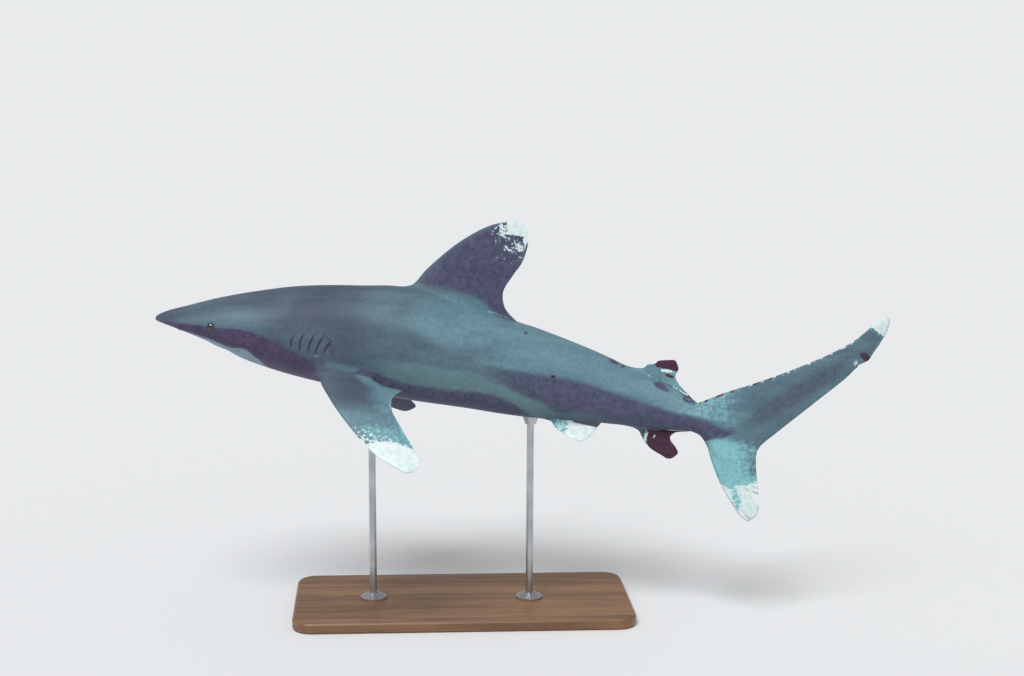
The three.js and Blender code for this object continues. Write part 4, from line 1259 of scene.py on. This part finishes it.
def mark_skin(skin):
    """The fields of all the markings at each of the skin's points."""
    s, side, z = skin.points.T
    made = {name: np.zeros(len(s)) for name in ("dusk_and_shade", "teal", "moss", "light")}
    made.update({name: np.full(len(s), -3.0) for name in ("pale", "white", "black")})
    by_region = {
        "body": body_marks(s, z),
        "tail": tail_marks(s, z),
        "first_dorsal": first_dorsal_marks(s, z),
        "second_dorsal": second_dorsal_marks(s, z),
        "anal": anal_marks(s, z),
        "pectoral_left": pectoral_marks(skin),
        "pelvic_left": pelvic_marks(skin),
    }
    by_region["pectoral_right"] = by_region["pectoral_left"]
    by_region["pelvic_right"] = by_region["pelvic_left"]
    for number, name in enumerate(REGIONS):
        here = skin.region == number
        for field, values in by_region[name].items():
            made[field][here] = np.broadcast_to(values, len(s))[here]
    on_body = skin.region == BODY_REGION
    keel = (stepped(s, KEEL_STRIP) - np.abs(side)) / 0.3
    made["pale"] = np.where(on_body & (z < -2.5), most(made["pale"], keel), made["pale"])
    # The dark spot on the flank is on the left side only.
    made["black"] = np.where(on_body, made["black"] - 3 * ease(side, -0.2, 0.2), made["black"])
    gap, height = eye_distance(skin.points)
    # Painted glints on the lids round the eye, brighter above it.
    rim = bump(gap, EYE["radius"] + 0.4 * MILLIMETRE, 0.9 * MILLIMETRE) * (0.35 + 0.2 * np.sign(height))
    made["light"] = most(made["light"], rim * on_body)
    snout = ease(s, 9.5, 6) * on_body
    made["pores"] = snout * most(ease(z, 0.1, -0.5), 0.5 * ease(s, 6, 2))
    # The painted shade on the head and throat takes a violet tint.
    made["violet"] = ease(s, 27, 18) * on_body
    return made


# ---- The skin's object ----


def make_object(name, points, faces, fields):
    mesh = bpy.data.meshes.new(name)
    mesh.from_pydata(points.tolist(), [], faces.tolist())
    mesh.polygons.foreach_set("use_smooth", np.ones(len(faces), bool))
    for field, values in fields.items():
        mesh.attributes.new(field, "FLOAT", "POINT").data.foreach_set("value", values.astype(np.float32))
    mesh.update()
    made = bpy.data.objects.new(name, mesh)
    bpy.context.scene.collection.objects.link(made)
    return made


skin = build_skin()
near_base = round_bases(skin)
for _ in range(DETAIL["rounds"]):
    near_base = split_long(skin, near_base)
marks = mark_skin(skin)
marks["crease_shade"] = sculpt(skin)
body = make_object("skin", pose(skin.points), skin.faces, marks)
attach(body, "root")
FLESH = ["head", "lower_jaw", "trunk", "tail_stock", "caudal_fin", "dorsal_fin_first"]
FLESH += ["dorsal_fin_second", "anal_fin"]
FLESH += [fin + side for fin in ("pectoral_fin_", "pelvic_fin_") for side in ("left", "right")]
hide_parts(*FLESH)

# ---- Eyes ----


def make_eye(side, word):
    """An eyeball set in its socket: rings from the middle of the cornea round to the back."""
    centre, along, up, out = eye_frame()
    turn = np.linspace(0, np.pi, EYE["rings"] + 1)[1:-1, None]
    around = np.arange(EYE["sectors"])[None] * 2 * np.pi / EYE["sectors"]
    depth = np.where(turn < np.pi / 2, EYE["front"], EYE["back"]) * np.cos(turn)
    depth = depth + EYE["cornea"] * bump(turn, 0, 0.62)
    plane = EYE["radius"] * np.sin(turn)
    high = plane * np.sin(around) * EYE["flatness"]
    rings = np.stack([plane * np.cos(around), high, depth + 0 * around], -1) @ [along, up, out]
    poles = np.array([(EYE["front"] + EYE["cornea"]) * out, -EYE["back"] * out])
    ball = Surface()
    grid = ball.add(rings, 0)
    front, back = ball.add(poles, 0)
    after = np.roll(grid, -1, 1)
    ball.quads(grid[:-1], grid[1:], after[1:], after[:-1])
    ball.fan(front, grid[0])
    ball.fan(back, grid[-1, ::-1])
    points = (np.concatenate(ball.points) + centre - EYE["sunk"] * out) * np.array([1, side, 1])
    off = np.concatenate([np.repeat(turn, EYE["sectors"]), [0, np.pi]])
    faces = np.concatenate(ball.faces)[:, ::side]
    eye = make_object("eye_" + word + "_ball", pose(points), faces, {"off": off})
    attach(eye, "root")
    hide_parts("eye_" + word)
    return eye


eyes = [make_eye(-1, "left"), make_eye(1, "right")]

# ---- Finishes ----


def paint(red, green, blue):
    """A colour given as 0 to 255 on screen, in linear light."""
    linear = [((c / 255 + 0.055) / 1.055) ** 2.4 if c > 10 else c / 255 / 12.92 for c in (red, green, blue)]
    return (*linear, 1)


class Nodes:
    """A tree of shader nodes."""

    def __init__(self, owner):
        owner.use_nodes = True
        self.nodes = owner.node_tree.nodes
        self.links = owner.node_tree.links

    def feed(self, socket, value):
        """Links a value to a socket, or sets it there when it is plain."""
        if isinstance(value, bpy.types.NodeSocket):
            self.links.new(value, socket)
        else:
            socket.default_value = value

    def add(self, kind, inputs=None, **settings):
        """Adds a node with its settings, and feeds its inputs by name or number."""
        node = self.nodes.new("ShaderNode" + kind)
        for name, value in settings.items():
            setattr(node, name, value)
        for name, value in (inputs or {}).items():
            self.feed(node.inputs[name], value)
        return node


class Finish(Nodes):
    """A material built from procedural layers, each one a method that adds its nodes."""

    def __init__(self, name, **sockets):
        self.material = bpy.data.materials.new(name)
        super().__init__(self.material)
        for socket, value in sockets.items():
            self.to(socket.replace("_", " "), value)

    def to(self, name, value):
        self.feed(self.nodes["Principled BSDF"].inputs[name], value)

    def attribute(self, name):
        return self.add("Attribute", attribute_name=name).outputs["Fac"]

    def place(self, stretch=(1, 1, 1)):
        """Object coordinates in metres, squeezed along each axis by the stretch."""
        at = self.add("TexCoord").outputs["Object"]
        return self.add("Mapping", {"Vector": at, "Scale": stretch}).outputs["Vector"]

    def noise(self, scale, detail=2.0, stretch=(1, 1, 1), warp=0.0):
        inputs = {"Vector": self.place(stretch), "Scale": scale, "Detail": detail, "Distortion": warp}
        return self.add("TexNoise", inputs).outputs["Fac"]

    def cells(self, scale):
        return self.add("TexVoronoi", {"Vector": self.place(), "Scale": scale}).outputs["Distance"]

    def maths(self, operation, *values):
        return self.add("Math", dict(enumerate(values)), operation=operation).outputs[0]

    def between(self, value, low, high, start=0.0, end=1.0):
        """start below low, end above high and smooth between."""
        inputs = {"Value": value, "From Min": low, "From Max": high, "To Min": start, "To Max": end}
        return self.add("MapRange", inputs, interpolation_type="SMOOTHSTEP").outputs["Result"]

    def blend(self, share, under, over, way="MIX"):
        inputs = {0: share, 6: under, 7: over}
        return self.add("Mix", inputs, data_type="RGBA", blend_type=way).outputs[2]

    def ragged(self, field, noise, amount, low, high):
        """A mask from a field, with its edge broken up by a noise."""
        shift = self.maths("MULTIPLY_ADD", noise, amount, -amount / 2)
        return self.between(self.maths("ADD", self.attribute(field), shift), low, high)

    def bump(self, height, strength, depth):
        inputs = {"Strength": strength, "Distance": depth, "Height": height}
        self.to("Normal", self.add("Bump", inputs).outputs["Normal"])

    def tones(self, noise, low, high, one, other):
        """Two paints mixed by a noise."""
        return self.blend(self.between(noise, low, high), paint(*one), paint(*other))

    def marked(self, colour, field, noise, amount, edge, over):
        """The colour with a marking over it, whose edge is a range of the field."""
        return self.blend(self.ragged(field, noise, amount, *edge), colour, over)

    def shaded(self, colour, noise, low, high, dark, bright):
        """The colour multiplied by between dark and bright, as a noise says."""
        shade = self.blend(self.between(noise, low, high), (*dark, 1), (*bright, 1))
        return self.blend(1, colour, shade, "MULTIPLY")


def skin_finish():
    """Skin: blue-grey and teal over a dusky flank and a pale belly, with white, speckled fin tips, painted
    shade on the lower sides and in the creases, and painted glints.
    """
    finish = Finish("shark_skin", Specular_IOR_Level=0.25, Coat_Weight=0.04, Coat_Roughness=0.4)
    broad = finish.noise(7, 3, warp=0.6)
    streaks = finish.noise(30, 4, (0.2, 1, 1))
    mottle = finish.noise(95, 3)
    specks = finish.noise(260, 3)
    coarse = finish.noise(150, 2, warp=0.3)
    grain = finish.noise(1500, 2)
    both = finish.maths("MULTIPLY", finish.maths("ADD", mottle, specks), 0.5)
    # The dusk and its violet tint are mostly painted shade.
    dusk_and_shade = finish.tones(mottle, 0.3, 0.7, (72, 74, 99), (82, 85, 112))
    violet = finish.tones(mottle, 0.3, 0.7, (72, 60, 90), (80, 72, 101))
    dusk_and_shade = finish.blend(finish.attribute("violet"), dusk_and_shade, violet)
    # The pale belly is painted darker than white, as painted shade of the underside.
    pale = finish.tones(mottle, 0.3, 0.75, (140, 164, 178), (116, 140, 158))
    black = finish.tones(coarse, 0.35, 0.7, (60, 36, 54), (80, 47, 68))
    white = finish.tones(mottle, 0.35, 0.7, (231, 242, 240), (204, 228, 229))
    colour = finish.tones(broad, 0.35, 0.68, (79, 94, 110), (70, 82, 100))
    colour = finish.marked(colour, "teal", streaks, 0.5, (0, 1), paint(101, 136, 148))
    colour = finish.marked(colour, "moss", streaks, 0.4, (0, 1), paint(100, 132, 139))
    colour = finish.marked(colour, "dusk_and_shade", streaks, 0.5, (0, 1), dusk_and_shade)
    # The light holds painted glints and highlights as well as the lighter teal.
    colour = finish.marked(colour, "light", both, 1.3, (0.2, 1), paint(138, 200, 204))
    colour = finish.marked(colour, "pale", mottle, 1.2, (-0.5, 0.5), pale)
    colour = finish.shaded(colour, streaks, 0.35, 0.7, (0.92, 0.92, 0.94), (1.08, 1.08, 1.06))
    colour = finish.shaded(colour, both, 0.4, 0.6, (0.9, 0.9, 0.93), (1.1, 1.09, 1.06))
    colour = finish.marked(colour, "black", coarse, 0.9, (-0.1, 0.12), black)
    colour = finish.marked(colour, "white", both, 2.0, (-0.07, 0.07), white)
    # Painted shade in the creases.
    crease_shade = finish.between(finish.attribute("crease_shade"), 0.1, 0.9, 0, 0.42)
    colour = finish.blend(crease_shade, colour, paint(50, 48, 65))
    dots = finish.between(finish.cells(330), 0.1, 0.2, 0.7, 0)
    pores = finish.maths("MULTIPLY", dots, finish.attribute("pores"))
    finish.to("Base Color", finish.blend(pores, colour, paint(51, 54, 65)))
    finish.to("Roughness", finish.between(mottle, 0.3, 0.7, 0.48, 0.62))
    finish.bump(finish.maths("ADD", grain, finish.maths("MULTIPLY", mottle, 3.0)), 0.25, 0.0004)
    return finish.material


def eye_finish():
    """A wet eye: black pupil, grey iris with fine flecks, and a dark rim."""
    finish = Finish("shark_eye", Roughness=0.08, Coat_Weight=1.0, Coat_Roughness=0.02)
    off = finish.attribute("off")
    flecks = finish.noise(900, 3)
    iris = finish.tones(flecks, 0.35, 0.65, (38, 40, 46), (68, 68, 66))
    iris = finish.blend(finish.between(off, 0.78, 1.15), iris, paint(28, 30, 40))
    pupil = finish.ragged("off", flecks, 0.06, 0.5, 0.56)
    finish.to("Base Color", finish.blend(pupil, paint(9, 10, 14), iris))
    return finish.material


def wood_finish():
    """Satin brown wood with its grain along the base."""
    finish = Finish("stand_wood", Specular_IOR_Level=0.4, Coat_Weight=0.25, Coat_Roughness=0.3)
    grain = finish.noise(28, 5, (0.06, 1, 1), warp=0.8)
    pores = finish.noise(400, 2, (0.03, 1, 1))
    colour = finish.tones(grain, 0.3, 0.7, (104, 72, 48), (142, 104, 70))
    dark_pores = finish.between(pores, 0.56, 0.72, 0, 0.6)
    finish.to("Base Color", finish.blend(dark_pores, colour, paint(70, 46, 30)))
    finish.to("Roughness", finish.between(pores, 0.3, 0.7, 0.38, 0.5))
    finish.bump(pores, 0.2, 0.0003)
    return finish.material


def steel_finish():
    """Brushed steel."""
    finish = Finish("stand_steel", Metallic=1.0)
    brushed = finish.noise(900, 3, (1, 1, 0.02))
    cloud = finish.noise(25, 2)
    finish.to("Base Color", finish.tones(cloud, 0.3, 0.7, (176, 178, 182), (196, 197, 199)))
    finish.to("Roughness", finish.between(brushed, 0.3, 0.7, 0.24, 0.4))
    finish.bump(brushed, 0.1, 0.0002)
    return finish.material


def dress(thing, material):
    thing.data.materials.clear()
    thing.data.materials.append(material)


dress(body, skin_finish())
eye_material = eye_finish()
for eye in eyes:
    dress(eye, eye_material)
wood, steel = wood_finish(), steel_finish()
for name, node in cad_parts.items():
    if name.startswith("stand_"):
        dress(node, wood if name == "stand_base" else steel)

# ---- Floor and light ----

FLOOR = {"half_side": 90.0, "level": -0.0004, "colour": paint(232, 234, 236)}
LIGHT = {"sky": 0.42, "sun": 0.58, "elevation": 56.0, "azimuth": -28.0, "softness": 0.5}


def make_floor():
    way = np.array([[-1, -1], [1, -1], [1, 1], [-1, 1]])
    corners = np.insert(way * FLOOR["half_side"], 2, FLOOR["level"], 1)
    floor = make_object("floor", corners, np.array([[0, 1, 2], [0, 2, 3]]), {})
    finish = Finish("floor", Roughness=1.0, Specular_IOR_Level=0.0, Base_Color=FLOOR["colour"])
    dress(floor, finish.material)


def make_sky():
    """Even soft light; the camera sees the floor's colour in it, so that no horizon shows."""
    world = bpy.data.worlds.new("sky")
    bpy.context.scene.world = world
    sky = Nodes(world)
    light = sky.nodes["Background"]
    light.inputs["Color"].default_value = (1, 1, 1, 1)
    light.inputs["Strength"].default_value = LIGHT["sky"]
    seen = sky.add("Background", {"Color": FLOOR["colour"], "Strength": 1})
    from_camera = sky.add("LightPath").outputs["Is Camera Ray"]
    either = sky.add("MixShader", {0: from_camera, 1: light.outputs[0], 2: seen.outputs[0]})
    sky.feed(sky.nodes["World Output"].inputs["Surface"], either.outputs[0])


def make_sun():
    """One broad lamp from above, so bright that with the sky a flat surface gets a level of 1."""
    lamp = bpy.data.lights.new("sun", "SUN")
    lamp.energy = LIGHT["sun"] * math.pi / math.sin(math.radians(LIGHT["elevation"]))
    lamp.angle = LIGHT["softness"]
    add_facing("sun", lamp, toward(LIGHT))


make_floor()
make_sky()
make_sun()
bpy.context.scene.view_settings.view_transform = "Standard"
